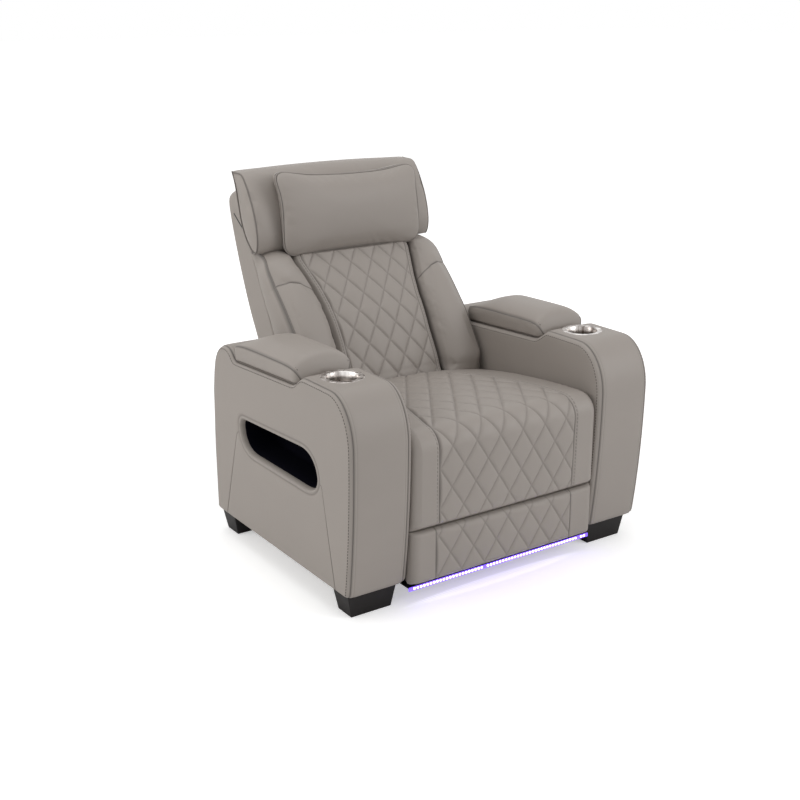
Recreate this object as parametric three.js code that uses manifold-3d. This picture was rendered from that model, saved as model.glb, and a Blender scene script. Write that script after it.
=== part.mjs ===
// Powered cinema recliner seat: two upholstered arms with storage lids, cup holders and side
// pockets, a quilted seat and back, a folding footrest, a tilting headrest and a light strip.
// Millimetres, +Z up, the front of the seat faces -Y, origin on the floor under the middle.
import * as THREE from 'three';
import { mergeVertices } from 'three/addons/utils/BufferGeometryUtils.js';
import Module from 'manifold-3d';

const wasm = await Module();
wasm.setup();

// Overall sizes
const width = 990;
const depth = 1030;
const height = 1010;
const front = -depth / 2;
const rear = depth / 2;

// Clearances
const gap = 0.3;
const softGap = 0.8;
const overrun = 5;

// Feet and arms
const footHeight = 70;
const armWidth = 185;
const armLength = 746;
const armTop = 600;
const sidePanel = 22;
const armSkin = 24;
const armEdgeRadius = 7;
const armHeight = armTop - footHeight;
const armOuter = width / 2;
const armInner = armOuter - armWidth;
const bandInner = armInner + sidePanel + gap;
const bandOuter = armOuter - sidePanel - gap;
const armMiddle = (armInner + armOuter) / 2;

// Pivots of the footrest, the back and the headrest, each with its distance from the front.
// The footrest's pivot is the centre of the round nose, which touches the front plane.
const noseRadius = 61;
const noseCrown = 3;
const backPivotDepth = 625;
const headDrop = 220;
// Run of the back from its pivot to the rear, as a share of the room there, and the head pivot on it
const backRunShare = 0.80494;
const headPivotShare = 0.49693;
const footrestPivot = { y: front + noseRadius + noseCrown, z: 412 };
const backPivot = { y: front + backPivotDepth, z: 380 };
const backRun = (rear - backPivot.y) * backRunShare;
const headPivot = { y: backPivot.y + headPivotShare * backRun, z: height - headDrop };

// Seat cushion and footrest pads
const seatSideGap = 7;
const seatHalf = armInner - seatSideGap;
const seatBottom = 345;
const seatRearSideZ = 415;
const seatFrontSideZ = 468;
const seatRearCrown = 27;
const seatFrontCrown = 8;
const noseInner = 20;
const noseStartDeg = 66;
const padThickness = 50;
const padBottom = 72;
const padSeam = 210;
const seatEdgeDrop = 12;

// Quilting: diamonds sewn into the leather
const diamondWidth = 75;
const diamondHeight = 112;
const backDiamondHeight = 100;
const quiltPuff = 7;
const quarters = 4;
const seatBorder = 34;
const seatQuiltColumns = quarters * Math.floor((2 * (seatHalf - seatBorder)) / diamondWidth);
const backQuiltColumns = 18;

// Back cushions
const tongueRadius = 115;
const tongueThickness = 23;
const tongueEndDeg = 200;
const tongueTopDeg = 155;
const bolsterSideGap = 13;
const bolsterWidth = 129;
const shellSideGap = 34;
const bolsterOuter = armInner - bolsterSideGap;
const shellHalf = armInner - shellSideGap;
const shellWall = 12;
const skirtRadius = 140;
const skirtEndDeg = -60;

// Rods, tubes and rails
const tubeRadius = 14;
const bearingRadius = 26;
const armBar = 6;
const armBarDepth = 20;
const boardThickness = 12;
const railHeight = 40;
const railDepth = 30;
const plate = 3;

const material = (color, roughness, metalness = 0) => (
  new THREE.MeshStandardMaterial({ color, roughness, metalness }));
const leather = material(0x9b948e, 0.5);
const blackPlastic = material(0x141416, 0.55);
const blackSteel = material(0x1b1b1d, 0.45, 0.8);
const brushedSteel = material(0xc8c8c6, 0.3, 1);
const plywood = material(0xb08a5a, 0.7);
const webbing = material(0x2b2b2e, 0.9);
const lightStrip = material(0x8a7dff, 0.4);

const seat = new THREE.Group();

function place(name, geometry, finish) {
  const mesh = new THREE.Mesh(geometry, finish);
  mesh.name = name;
  seat.add(mesh);
}

// A closed geometry as a solid that can be cut and joined
function solid(geometry) {
  const bare = new THREE.BufferGeometry();
  bare.setAttribute('position', geometry.getAttribute('position').clone());
  if (geometry.index) bare.setIndex(geometry.index.clone());
  const merged = mergeVertices(bare, 1e-4);
  return new wasm.Manifold(new wasm.Mesh({
    numProp: 3,
    vertProperties: new Float32Array(merged.getAttribute('position').array),
    triVerts: new Uint32Array(merged.index.array),
  }));
}

function surface(body) {
  const mesh = body.getMesh();
  const geometry = new THREE.BufferGeometry();
  geometry.setAttribute('position', new THREE.BufferAttribute(new Float32Array(mesh.vertProperties), 3));
  geometry.setIndex(new THREE.BufferAttribute(new Uint32Array(mesh.triVerts), 1));
  geometry.computeVertexNormals();
  return geometry;
}

function cut(geometry, ...tools) {
  return surface(tools.reduce((body, tool) => body.subtract(solid(tool)), solid(geometry)));
}

function join(geometry, ...others) {
  return surface(others.reduce((body, other) => body.add(solid(other)), solid(geometry)));
}

// A block between two X, two Y and two Z places, given in any order
function block([x0, x1], [y0, y1], [z0, z1]) {
  const geometry = new THREE.BoxGeometry(Math.abs(x1 - x0), Math.abs(y1 - y0), Math.abs(z1 - z0));
  return geometry.translate((x0 + x1) / 2, (y0 + y1) / 2, (z0 + z1) / 2);
}

// A side outline in Y and Z, extruded along X between two places
const sideToWorld = new THREE.Matrix4().makeBasis(
  new THREE.Vector3(0, 1, 0), new THREE.Vector3(0, 0, 1), new THREE.Vector3(1, 0, 0));

function sideExtrude(shape, [x0, x1], edge = 0, curveSegments = 6) {
  const low = Math.min(x0, x1);
  const span = Math.abs(x1 - x0);
  const geometry = new THREE.ExtrudeGeometry(shape, {
    depth: span - 2 * edge,
    bevelEnabled: edge > 0,
    bevelSize: edge,
    bevelThickness: edge,
    bevelOffset: -edge,
    bevelSegments: 2,
    curveSegments,
  });
  return geometry.applyMatrix4(sideToWorld).translate(low + edge, 0, 0);
}

const shapeOf = (points) => new THREE.Shape(points.map(([y, z]) => new THREE.Vector2(y, z)));

// A round bar along X through a point of the side view
function barX(radius, [x0, x1], { y, z }, sides = 24) {
  const bar = new THREE.CylinderGeometry(radius, radius, Math.abs(x1 - x0), sides);
  return bar.rotateZ(Math.PI / 2).translate((x0 + x1) / 2, y, z);
}

function barZ(radius, [z0, z1], { x, y }, sides = 24) {
  const bar = new THREE.CylinderGeometry(radius, radius, Math.abs(z1 - z0), sides);
  return bar.rotateX(Math.PI / 2).translate(x, y, (z0 + z1) / 2);
}

// A point at a radius and an angle round a pivot, the angle counted from the rear (+Y) up
function around({ y, z }, radius, degrees) {
  const angle = THREE.MathUtils.degToRad(degrees);
  return [y + radius * Math.cos(angle), z + radius * Math.sin(angle)];
}

// A closed padded form: a shown face on a grid, walls down to a base, and the base in strips.
// face and base give the point of a column and a row.
function closedForm({ columns, rows, face, base, splitLeft }) {
  const points = [];
  const add = (point) => points.push(point) - 1;
  const faceIds = [];
  const baseIds = [];
  for (let j = 0; j <= rows; j += 1) {
    faceIds.push([]);
    baseIds.push([]);
    for (let i = 0; i <= columns; i += 1) {
      faceIds[j].push(add(face(i, j)));
      const onEdge = i === 0 || j === 0 || i === columns || j === rows;
      baseIds[j].push(onEdge ? add(base(i, j)) : -1);
    }
  }
  const triangles = [];
  for (let j = 0; j < rows; j += 1) {
    for (let i = 0; i < columns; i += 1) {
      const [a, b] = [faceIds[j][i], faceIds[j][i + 1]];
      const [c, d] = [faceIds[j + 1][i + 1], faceIds[j + 1][i]];
      if (splitLeft(i, j)) triangles.push([a, b, d], [b, c, d]);
      else triangles.push([a, b, c], [a, c, d]);
    }
  }
  const wall = (a, b, c, d) => triangles.push([a, c, b], [b, c, d]);
  for (let i = 0; i < columns; i += 1) {
    wall(faceIds[0][i], faceIds[0][i + 1], baseIds[0][i], baseIds[0][i + 1]);
    wall(faceIds[rows][i + 1], faceIds[rows][i], baseIds[rows][i + 1], baseIds[rows][i]);
  }
  for (let j = 0; j < rows; j += 1) {
    wall(faceIds[j + 1][0], faceIds[j][0], baseIds[j + 1][0], baseIds[j][0]);
    wall(faceIds[j][columns], faceIds[j + 1][columns], baseIds[j][columns], baseIds[j + 1][columns]);
  }
  for (let j = 0; j < rows; j += 1) {
    const across = j === 0 || j === rows - 1;
    const near = baseIds[j];
    const far = baseIds[j + 1];
    if (!across) triangles.push([near[0], far[0], near[columns]], [near[columns], far[0], far[columns]]);
    else if (j === 0) {
      for (let i = 0; i < columns; i += 1) triangles.push([near[i + 1], near[i], far[0]]);
      triangles.push([near[columns], far[0], far[columns]]);
    } else {
      for (let i = 0; i < columns; i += 1) triangles.push([far[i], far[i + 1], near[0]]);
      triangles.push([near[0], far[columns], near[columns]]);
    }
  }
  const geometry = new THREE.BufferGeometry();
  geometry.setAttribute('position', new THREE.Float32BufferAttribute(points.flat(), 3));
  let volume = 0;
  for (const [a, b, c] of triangles) {
    const [p, q, r] = [a, b, c].map((id) => new THREE.Vector3(...points[id]));
    volume += p.dot(q.cross(r));
  }
  geometry.setIndex(triangles.map((t) => (volume > 0 ? t : [t[0], t[2], t[1]])).flat());
  geometry.computeVertexNormals();
  return geometry;
}

// Diamond quilting on a grid of quarter diamonds: stitches run where the sum or the difference
// of column and row is a multiple of four, and the leather stands highest between them.
const quiltRise = (i, j) => {
  const rise = Math.abs(Math.sin((Math.PI * (i + j)) / quarters) * Math.sin((Math.PI * (i - j)) / quarters));
  return quiltPuff * (Math.sqrt(rise) - 1);
};
const quiltSplit = (i, j) => (i + j + 1) % quarters === 0 || ((i - j) % quarters !== 0 && (i + j) % 2 === 1);

// A value along a list of places and values, in straight steps
function along(table, place) {
  const last = table.length - 1;
  let k = 0;
  while (k < last - 1 && place > table[k + 1][0]) k += 1;
  const [p0, ...v0] = table[k];
  const [p1, ...v1] = table[k + 1];
  const t = (place - p0) / (p1 - p0);
  return v0.map((v, n) => v + t * (v1[n] - v));
}

// Arms: outline of one arm in shares of its length from the front and its height from the floor side
const armY = (share) => front + share * armLength;
const armZ = (share) => footHeight + share * armHeight;
const toeShare = 0.035;
const bulgeShares = [0.34, 0.742];
const noseShares = [0.133, 0.258];
const platformEndShare = 0.311;
const ledgeFrontShares = [0.369, 0.9415];
const ledgeRearShares = [0.812, 0.9105];
const humpShares = [[0.832, 0.943], [0.855, 0.966], [0.881, 0.9717], [0.918, 0.962], [0.945, 0.93],
  [0.966, 0.88], [0.979, 0.811], [0.991, 0.704], [1, 0.383], [0.997, 0]];

function armShape(inset) {
  const points = [];
  const start = new THREE.Vector2(armY(toeShare), footHeight);
  const bulge = new THREE.Vector2(front, armZ(bulgeShares[1]));
  const lower = new THREE.QuadraticBezierCurve(start, new THREE.Vector2(front, armZ(bulgeShares[0])), bulge);
  points.push(...lower.getPoints(5));
  const nose = new THREE.EllipseCurve(armY(noseShares[0]), armZ(bulgeShares[1]),
    noseShares[0] * armLength, noseShares[1] * armHeight, Math.PI, Math.PI / 2, true);
  points.push(...nose.getPoints(8).slice(1));
  points.push(new THREE.Vector2(armY(platformEndShare), armTop));
  for (const [y, z] of [ledgeFrontShares, ledgeRearShares, ...humpShares]) {
    points.push(new THREE.Vector2(armY(y), armZ(z)));
  }
  return inset ? insetOutline(points, inset) : new THREE.Shape(points);
}

// The outline moved inwards by a wall, its two ends kept open past the bottom
function insetOutline(points, inset) {
  const moved = points.map((point, k) => {
    const before = points[Math.max(k - 1, 0)];
    const after = points[Math.min(k + 1, points.length - 1)];
    const heading = after.clone().sub(before).normalize();
    return new THREE.Vector2(point.x + heading.y * inset, point.y - heading.x * inset);
  });
  moved[0].y = footHeight - overrun;
  moved[moved.length - 1].y = footHeight - overrun;
  return new THREE.Shape(moved);
}

// Side window, a leaf with two large and two small corners, in shares of the arm's outline
const windowFrontShare = 0.2185;
const windowRearShare = 0.772;
const windowLow = 308;
const windowHigh = 411;
const windowBigCorner = 78;
const windowSmallCorner = 24;
const windowRearDrop = 15;

function windowShape(grow = 0) {
  const y0 = armY(windowFrontShare) - grow;
  const y1 = armY(windowRearShare) + grow;
  const z0 = windowLow - grow;
  const z1 = windowHigh + grow;
  const shape = new THREE.Shape();
  shape.moveTo(y0 + windowSmallCorner, z0);
  shape.lineTo(y1 - windowBigCorner, z0);
  shape.quadraticCurveTo(y1 - windowSmallCorner, z0, y1 - windowSmallCorner / 4, z0 + windowBigCorner / 2);
  shape.lineTo(y1, z1 - windowRearDrop - windowSmallCorner);
  shape.quadraticCurveTo(y1, z1 - windowRearDrop, y1 - windowSmallCorner, z1 - windowRearDrop);
  shape.lineTo(y0 + windowBigCorner, z1);
  shape.quadraticCurveTo(y0 + windowSmallCorner, z1, y0 + windowSmallCorner / 4, z1 - windowBigCorner / 2);
  shape.lineTo(y0, z0 + windowSmallCorner);
  shape.quadraticCurveTo(y0, z0, y0 + windowSmallCorner, z0);
  return shape;
}

// Cup holder, storage bin and side pocket
const cupFlange = 53;
const cupRadius = 42;
const cupDepth = 78;
const cupWall = 2;
const cupLip = 4;
const cupToLid = 28.85;
const pocketDepth = 105;
const pocketWall = 3;
const binFrontShare = 0.4;
const binRearShare = 0.77;
const binDepth = 120;
const binWall = 3;
const binMargin = 16;
const binHalf = (bandOuter - bandInner) / 2 - binMargin;
const ledgeZ = (y) => along([ledgeFrontShares, ledgeRearShares].map(([s, h]) => [armY(s), armZ(h)]), y)[0];
const binFront = armY(binFrontShare);
const binRear = armY(binRearShare);
const binTop = ledgeZ(binFront);
const binFloor = binTop - binDepth;

// Lid over the bin, hinged at its rear on a pin that two ears of the lid turn on
const lidGap = 10;
const lidFrontShare = 0.351;
const lidRearShare = 0.8177;
const lidSide = 33;
const lidHingeHeightShare = 0.66;
const lidCrown = 22;
const lidSideInset = 5;
const lidColumns = 8;
const lidRows = 10;
const lidFront = armY(lidFrontShare);
const lidRear = armY(lidRearShare);
const cupY = lidFront - cupFlange - cupToLid;
const lidPin = 3;
const lidEar = 5.5;
const lidEarWidth = 12;
const lidHingeY = lidRear + lidPin + softGap;
const lidUnder = (y) => ledgeZ(y) + lidGap;
const lidHingeZ = lidUnder(lidRear) + lidSide * lidHingeHeightShare;
const sideName = (side) => (side < 0 ? 'left' : 'right');

function buildArm(side) {
  const name = sideName(side);
  const spanX = (a, b) => [side * a, side * b];
  const outline = armShape(0);
  const windowCut = sideExtrude(windowShape(), spanX(armOuter - sidePanel - overrun, armOuter + overrun));
  const outerPanel = sideExtrude(outline, spanX(armOuter - sidePanel, armOuter), armEdgeRadius);
  place(`arm_outer_panel_${name}`, cut(outerPanel, windowCut), leather);
  const innerSpan = spanX(armInner, armInner + sidePanel);
  place(`arm_inner_panel_${name}`, sideExtrude(outline, innerSpan, armEdgeRadius), leather);

  const band = sideExtrude(outline, spanX(bandInner, bandOuter));
  const hollow = sideExtrude(armShape(armSkin), spanX(bandInner - overrun, bandOuter + overrun));
  const cupBore = barZ(cupRadius + cupWall + gap, [armTop - cupDepth, armTop + overrun],
    { x: side * armMiddle, y: cupY }, 32);
  const binBore = block(spanX(armMiddle - binHalf - gap, armMiddle + binHalf + gap),
    [binFront - gap, binRear + gap], [binFloor - overrun, armTop + overrun]);
  place(`arm_top_band_${name}`, cut(band, hollow, cupBore, binBore), leather);

  const pocketSkin = sideExtrude(windowShape(-gap), spanX(armOuter - pocketDepth, armOuter - plate));
  const hollowSpan = spanX(armOuter - pocketDepth + pocketWall, armOuter);
  const pocketHollow = sideExtrude(windowShape(-gap - pocketWall), hollowSpan);
  place(`side_pocket_${name}`, cut(pocketSkin, pocketHollow), blackPlastic);

  const binShape = shapeOf([[binFront, binFloor], [binRear, binFloor],
    [binRear, lidUnder(binRear) - gap], [binFront, lidUnder(binFront) - gap]]);
  const bin = sideExtrude(binShape, spanX(armMiddle - binHalf, armMiddle + binHalf));
  const binHollow = block(spanX(armMiddle - binHalf + binWall, armMiddle + binHalf - binWall),
    [binFront + binWall, binRear - binWall], [binFloor + binWall, armTop]);
  place(`storage_bin_${name}`, cut(bin, binHollow), blackPlastic);

  const cup = [[0, armTop - cupDepth + gap], [cupRadius + cupWall, armTop - cupDepth + gap],
    [cupRadius + cupWall, armTop + gap], [cupFlange, armTop + gap], [cupFlange, armTop + cupLip / 2],
    [cupFlange - cupLip / 2, armTop + cupLip], [cupRadius, armTop + cupLip],
    [cupRadius, armTop - cupDepth + gap + cupWall], [0, armTop - cupDepth + gap + cupWall]];
  const cupGeometry = new THREE.LatheGeometry(cup.map(([r, z]) => new THREE.Vector2(r, z)), 32);
  cupGeometry.rotateX(Math.PI / 2).translate(side * armMiddle, cupY, 0);
  place(`cup_holder_${name}`, surface(solid(cupGeometry)), brushedSteel);
  buildLid(side, name, spanX);
}

function buildLid(side, name, spanX) {
  const inner = armInner + lidSideInset;
  const outer = armOuter - lidSideInset;
  const lidY = (v) => lidFront + v * (lidRear - lidFront);
  const lidX = (u) => side * (inner + u * (outer - inner));
  const rimDrop = (t) => 1 - (2 * t - 1) ** 4;
  const form = closedForm({
    columns: lidColumns,
    rows: lidRows,
    face: (i, j) => {
      const [u, v] = [i / lidColumns, j / lidRows];
      return [lidX(u), lidY(v), lidUnder(lidY(v)) + lidSide + lidCrown * rimDrop(u) * (rimDrop(v) ** 0.5)];
    },
    base: (i, j) => [lidX(i / lidColumns), lidY(j / lidRows), lidUnder(lidY(j / lidRows))],
    splitLeft: (i, j) => (i + j) % 2 === 0,
  });
  const pin = { y: lidHingeY, z: lidHingeZ };
  const ends = [armMiddle - binHalf, armMiddle + binHalf];
  const ears = [[ends[0] - lidEarWidth, ends[0] - gap], [ends[1] + gap, ends[1] + lidEarWidth]];
  const pinSpan = spanX(ends[0] - lidEarWidth, ends[1] + lidEarWidth);
  const boreSpan = spanX(ends[0] - lidEarWidth - overrun, ends[1] + lidEarWidth + overrun);
  const eared = join(form, ...ears.map(([a, b]) => barX(lidEar, spanX(a, b), pin, 16)));
  place(`lid_${name}`, cut(eared, barX(lidPin + gap, boreSpan, pin, 16)), leather);
  const leaf = block(spanX(...ends), [lidHingeY - plate / 2, lidHingeY + plate / 2],
    [along([[armY(ledgeRearShares[0]), armZ(ledgeRearShares[1])],
      [armY(humpShares[0][0]), armZ(humpShares[0][1])]], lidHingeY + plate / 2)[0] + gap, lidHingeZ]);
  place(`lid_hinge_${name}`, join(barX(lidPin, pinSpan, pin, 16), leaf), blackSteel);
}

// Feet, tapered blocks
const footLength = 63;
const footWidthTop = 150;
const footTaper = 14;
const footInset = 16;
const frontFootShare = 0.07;
const rearFootShare = 0.929;

function foot(name, side, centreY) {
  const outer = armOuter - footInset;
  const inner = outer - footWidthTop;
  const reach = (footLength + footTaper) / 2;
  const span = [side * inner, side * outer];
  const geometry = block(span, [centreY - reach, centreY + reach], [0, footHeight - gap]);
  const position = geometry.getAttribute('position');
  const middleX = (side * (inner + outer)) / 2;
  for (let k = 0; k < position.count; k += 1) {
    if (position.getZ(k) > 0) continue;
    const towardsX = Math.sign(middleX - position.getX(k)) * footTaper;
    const towardsY = Math.sign(centreY - position.getY(k)) * footTaper / 2;
    position.setX(k, position.getX(k) + towardsX);
    position.setY(k, position.getY(k) + towardsY);
  }
  place(name, geometry, blackPlastic);
}

// Seat cushion: quilted face, rear hollowed round the back's tongue, front hollowed round the nose
const seatRearLift = seatRearSideZ + seatRearCrown - backPivot.z;
const seatRearY = backPivot.y - Math.sqrt(tongueRadius ** 2 - seatRearLift ** 2);
const seatFrontY = footrestPivot.y + noseRadius * Math.cos(THREE.MathUtils.degToRad(noseStartDeg));
const seatFloorSetback = 24;
const seatFloorFrontY = footrestPivot.y + noseRadius + noseCrown + seatFloorSetback;

function spreadX(i, quiltColumns, quiltHalf, half) {
  if (i === 0) return -half;
  if (i === quiltColumns + 2) return half;
  return ((i - 1) / (quiltColumns / 2) - 1) * quiltHalf;
}

function buildSeat() {
  const quiltHalf = (seatQuiltColumns / quarters) * diamondWidth / 2;
  const columns = seatQuiltColumns + 2;
  const rows = Math.round((seatRearY - seatFrontY) / (diamondHeight / quarters));
  const rowY = (j) => seatFrontY + (j / rows) * (seatRearY - seatFrontY);
  const face = (i, j) => {
    const x = spreadX(i, seatQuiltColumns, quiltHalf, seatHalf);
    const t = j / rows;
    const rim = seatFrontSideZ + t * (seatRearSideZ - seatFrontSideZ);
    const crown = seatFrontCrown + t * (seatRearCrown - seatFrontCrown);
    const edge = i === 0 || i === columns ? -seatEdgeDrop : quiltRise(i - 1, j);
    return [x, rowY(j), rim + crown * (1 - (x / seatHalf) ** 2) + edge];
  };
  const base = (i, j) => {
    const y = Math.max(rowY(j), seatFloorFrontY);
    return [spreadX(i, seatQuiltColumns, quiltHalf, seatHalf), y, seatBottom];
  };
  const form = closedForm({ columns, rows, face, base, splitLeft: (i, j) => quiltSplit(i - 1, j) });
  const span = [-seatHalf - overrun, seatHalf + overrun];
  const tongueRoom = barX(tongueRadius + softGap, span, backPivot, 72);
  const noseRoom = barX(noseRadius + noseCrown + softGap, span, footrestPivot, 48);
  place('seat_cushion', cut(form, tongueRoom, noseRoom), leather);
}

// Seat frame under the cushion, and the steel side plates that hold both pivots
const seatRailTop = seatBottom - gap;
const seatRailWidth = 30;
const frameFromFront = 165;
const frameToTongue = 15;
const seatFrameFront = front + frameFromFront;
const seatFrameRear = backPivot.y - tongueRadius - frameToTongue;
const deckThickness = 4;
const sidePlateHeight = 40;
const sidePlateNeck = 20;

function buildSeatFrame() {
  const z = [seatRailTop - railHeight, seatRailTop - deckThickness - gap];
  const inside = seatHalf - seatRailWidth - gap;
  for (const side of [-1, 1]) {
    place(`seat_rail_${sideName(side)}`, block([side * (inside + gap), side * seatHalf],
      [seatFrameFront, seatFrameRear], z), plywood);
  }
  const frontRail = block([-inside, inside], [seatFrameFront, seatFrameFront + railDepth], z);
  place('seat_front_rail', frontRail, plywood);
  const rearRail = block([-inside, inside], [seatFrameRear - railDepth, seatFrameRear], z);
  const motorLug = block([-motorCan, motorCan],
    [seatFrameRear - overrun, backPivot.y - motorOffset - motorCan - gap], [z[0], (z[0] + z[1]) / 2]);
  place('seat_rear_rail', join(rearRail, motorLug), plywood);
  place('seat_deck', block([-seatHalf, seatHalf], [seatFrameFront, seatFrameRear],
    [seatRailTop - deckThickness, seatRailTop]), webbing);

  for (const side of [-1, 1]) {
    const x = [side * (seatHalf + gap), side * (armInner - gap)];
    const beamZ = [seatRailTop - sidePlateHeight, seatRailTop];
    const beam = block(x, [footrestPivot.y - sidePlateNeck / 2, backPivot.y + sidePlateNeck / 2], beamZ);
    const necks = [footrestPivot, backPivot].map(({ y, z: top }) => (
      block(x, [y - sidePlateNeck / 2, y + sidePlateNeck / 2], [beamZ[0], top])));
    const hubs = [footrestPivot, backPivot].map((pivot) => barX(bearingRadius, x, pivot));
    const bores = [footrestPivot, backPivot].map((pivot) => (
      barX(tubeRadius + gap, [side * (seatHalf - overrun), side * (armInner + overrun)], pivot)));
    place(`side_plate_${sideName(side)}`, cut(join(beam, ...necks, ...hubs), ...bores), blackSteel);
  }
}

// Footrest: quilted upper pad with a round nose over the pivot, lower pad, board, bars and tube
const padFrontY = footrestPivot.y - noseRadius;
const padBackY = padFrontY + padThickness;
const barInset = 19;
const barSide = seatHalf - barInset;
const motorHalf = 45;
const motorCase = 34;
const motorCan = 22;
const motorOffset = 38;
const motorCanLength = 86;
const motorCanDrop = 32;
const wormTopDrop = 26;
const wormBottomDrop = 44;

function buildFootrest() {
  const quiltHalf = (seatQuiltColumns / quarters) * diamondWidth / 2;
  const columns = seatQuiltColumns + 2;
  const arcLength = noseRadius * THREE.MathUtils.degToRad(180 - noseStartDeg);
  const upperLength = arcLength + footrestPivot.z - padSeam;
  const upperRows = Math.round(upperLength / (diamondHeight / quarters));
  const pathPoint = (s, lift, onBase) => {
    if (s < arcLength) {
      const degrees = noseStartDeg + (s / arcLength) * (180 - noseStartDeg);
      return around(footrestPivot, onBase ? noseInner : noseRadius + lift, degrees);
    }
    const z = footrestPivot.z - (s - arcLength);
    const blend = Math.min((s - arcLength) / noseInner, 1);
    const backY = footrestPivot.y - noseInner + blend * (padBackY - footrestPivot.y + noseInner);
    return [onBase ? backY : padFrontY - lift, z];
  };
  const column = (i) => spreadX(i, seatQuiltColumns, quiltHalf, seatHalf);
  const upperS = (j) => (j / upperRows) * (upperLength - softGap);
  const edgeLift = (i, rise) => (i === 0 || i === columns ? -seatEdgeDrop : noseCrown + rise);
  const upper = closedForm({
    columns,
    rows: upperRows,
    face: (i, j) => [column(i), ...pathPoint(upperS(j), edgeLift(i, quiltRise(i - 1, j)), false)],
    base: (i, j) => [column(i), ...pathPoint(upperS(j), 0, true)],
    splitLeft: (i, j) => quiltSplit(i - 1, j),
  });
  const span = (a, b) => [[-a, -b], [a, b]];
  const barRoom = span(barSide - gap, barSide + armBar + gap);
  const hubs = barRoom.map((x) => barX(bearingRadius + gap, x, footrestPivot));
  const slots = barRoom.map((x) => block(x,
    [footrestPivot.y - noseInner - gap, footrestPivot.y + bearingRadius], [padSeam, footrestPivot.z]));
  const motorRoom = barX(motorCase + 2 * softGap, [-motorHalf - softGap, motorHalf + softGap], footrestPivot);
  const upperPad = cut(upper, ...hubs, ...slots, motorRoom);
  place('footrest_upper_pad', upperPad, leather);

  const lowerLength = padSeam - softGap - padBottom;
  const lowerRows = Math.round(lowerLength / (diamondHeight / quarters));
  const lowerZ = (j) => padSeam - softGap - (j / lowerRows) * lowerLength;
  const lowerBulge = (j) => noseCrown * Math.sin((Math.PI * j) / lowerRows);
  const lowerFace = (i, j) => {
    const ends = i === 0 || i === columns || j === 0 || j === lowerRows;
    const inwards = ends ? seatEdgeDrop / 2 : -lowerBulge(j) - quiltRise(i - 1, j + 1);
    return [column(i), padFrontY + inwards, lowerZ(j)];
  };
  place('footrest_lower_pad', closedForm({
    columns,
    rows: lowerRows,
    face: lowerFace,
    base: (i, j) => [column(i), padBackY, lowerZ(j)],
    splitLeft: (i, j) => quiltSplit(i - 1, j + 1),
  }), leather);

  const boardY = padBackY + gap;
  const boardTop = footrestPivot.z - noseRadius - softGap;
  place('footrest_board', block([-barSide - armBar, barSide + armBar], [boardY, boardY + boardThickness],
    [padBottom + boardThickness, boardTop]), plywood);
  for (const side of [-1, 1]) {
    const x = [side * barSide, side * (barSide + armBar)];
    const barY = boardY + boardThickness + gap;
    const bar = block(x, [barY, barY + armBarDepth], [padBottom + railHeight, footrestPivot.z]);
    const hub = barX(bearingRadius, x, footrestPivot);
    const boreX = [side * (barSide - overrun), side * (barSide + armBar + overrun)];
    const bore = barX(tubeRadius + gap, boreX, footrestPivot);
    place(`footrest_bar_${sideName(side)}`, cut(join(bar, hub), bore), blackSteel);
  }
  place('footrest_tube', barX(tubeRadius, [-armInner + plate, armInner - plate], footrestPivot), blackSteel);
}

// A worm gear motor round a cross tube, its can hanging down beside the tube. The worm housing
// stays low, so that the nose of the open footrest turns over it.
function gearMotor(name, pivot, offset, canBottom) {
  const canY = pivot.y + offset;
  const half = [-motorHalf, motorHalf];
  const casing = barX(motorCase, half, pivot, 24);
  const worm = block([-motorCan, motorCan], [pivot.y, canY + Math.sign(offset) * motorCan / 2],
    [pivot.z - wormBottomDrop, pivot.z - wormTopDrop]);
  const can = barZ(motorCan, [canBottom, pivot.z - motorCanDrop], { x: 0, y: canY });
  const bore = barX(tubeRadius + gap, [-motorHalf - overrun, motorHalf + overrun], pivot);
  place(name, cut(join(casing, worm, can), bore), blackPlastic);
}

// Base: cross rails between the arms, rear cover, motors, light strip, power inlet
const railLift = 12;
const frontRailSetback = 32;
const rearRailSetback = 55;
const baseRailZ = footHeight + railLift;
const frontRailY = footrestPivot.y + frontRailSetback;
const rearRailY = armY(1) - rearRailSetback;
const rearPanel = 14;
const rearPanelTop = 285;
const rearPanelLift = 5;
const rearPanelBottom = footHeight + rearPanelLift;
const shelfZ = 51;
const shelfSetback = 20;
const shelfFrontY = front + shelfSetback;
const stripHeight = 10;
const stripThickness = 3;
const inletRadius = 10;
const inletShare = 0.645161;
const inletX = armInner * inletShare;
const inletZ = 130;
const inletPlate = 20;
const boxSize = { x: 130, y: 70, z: 45 };

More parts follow.
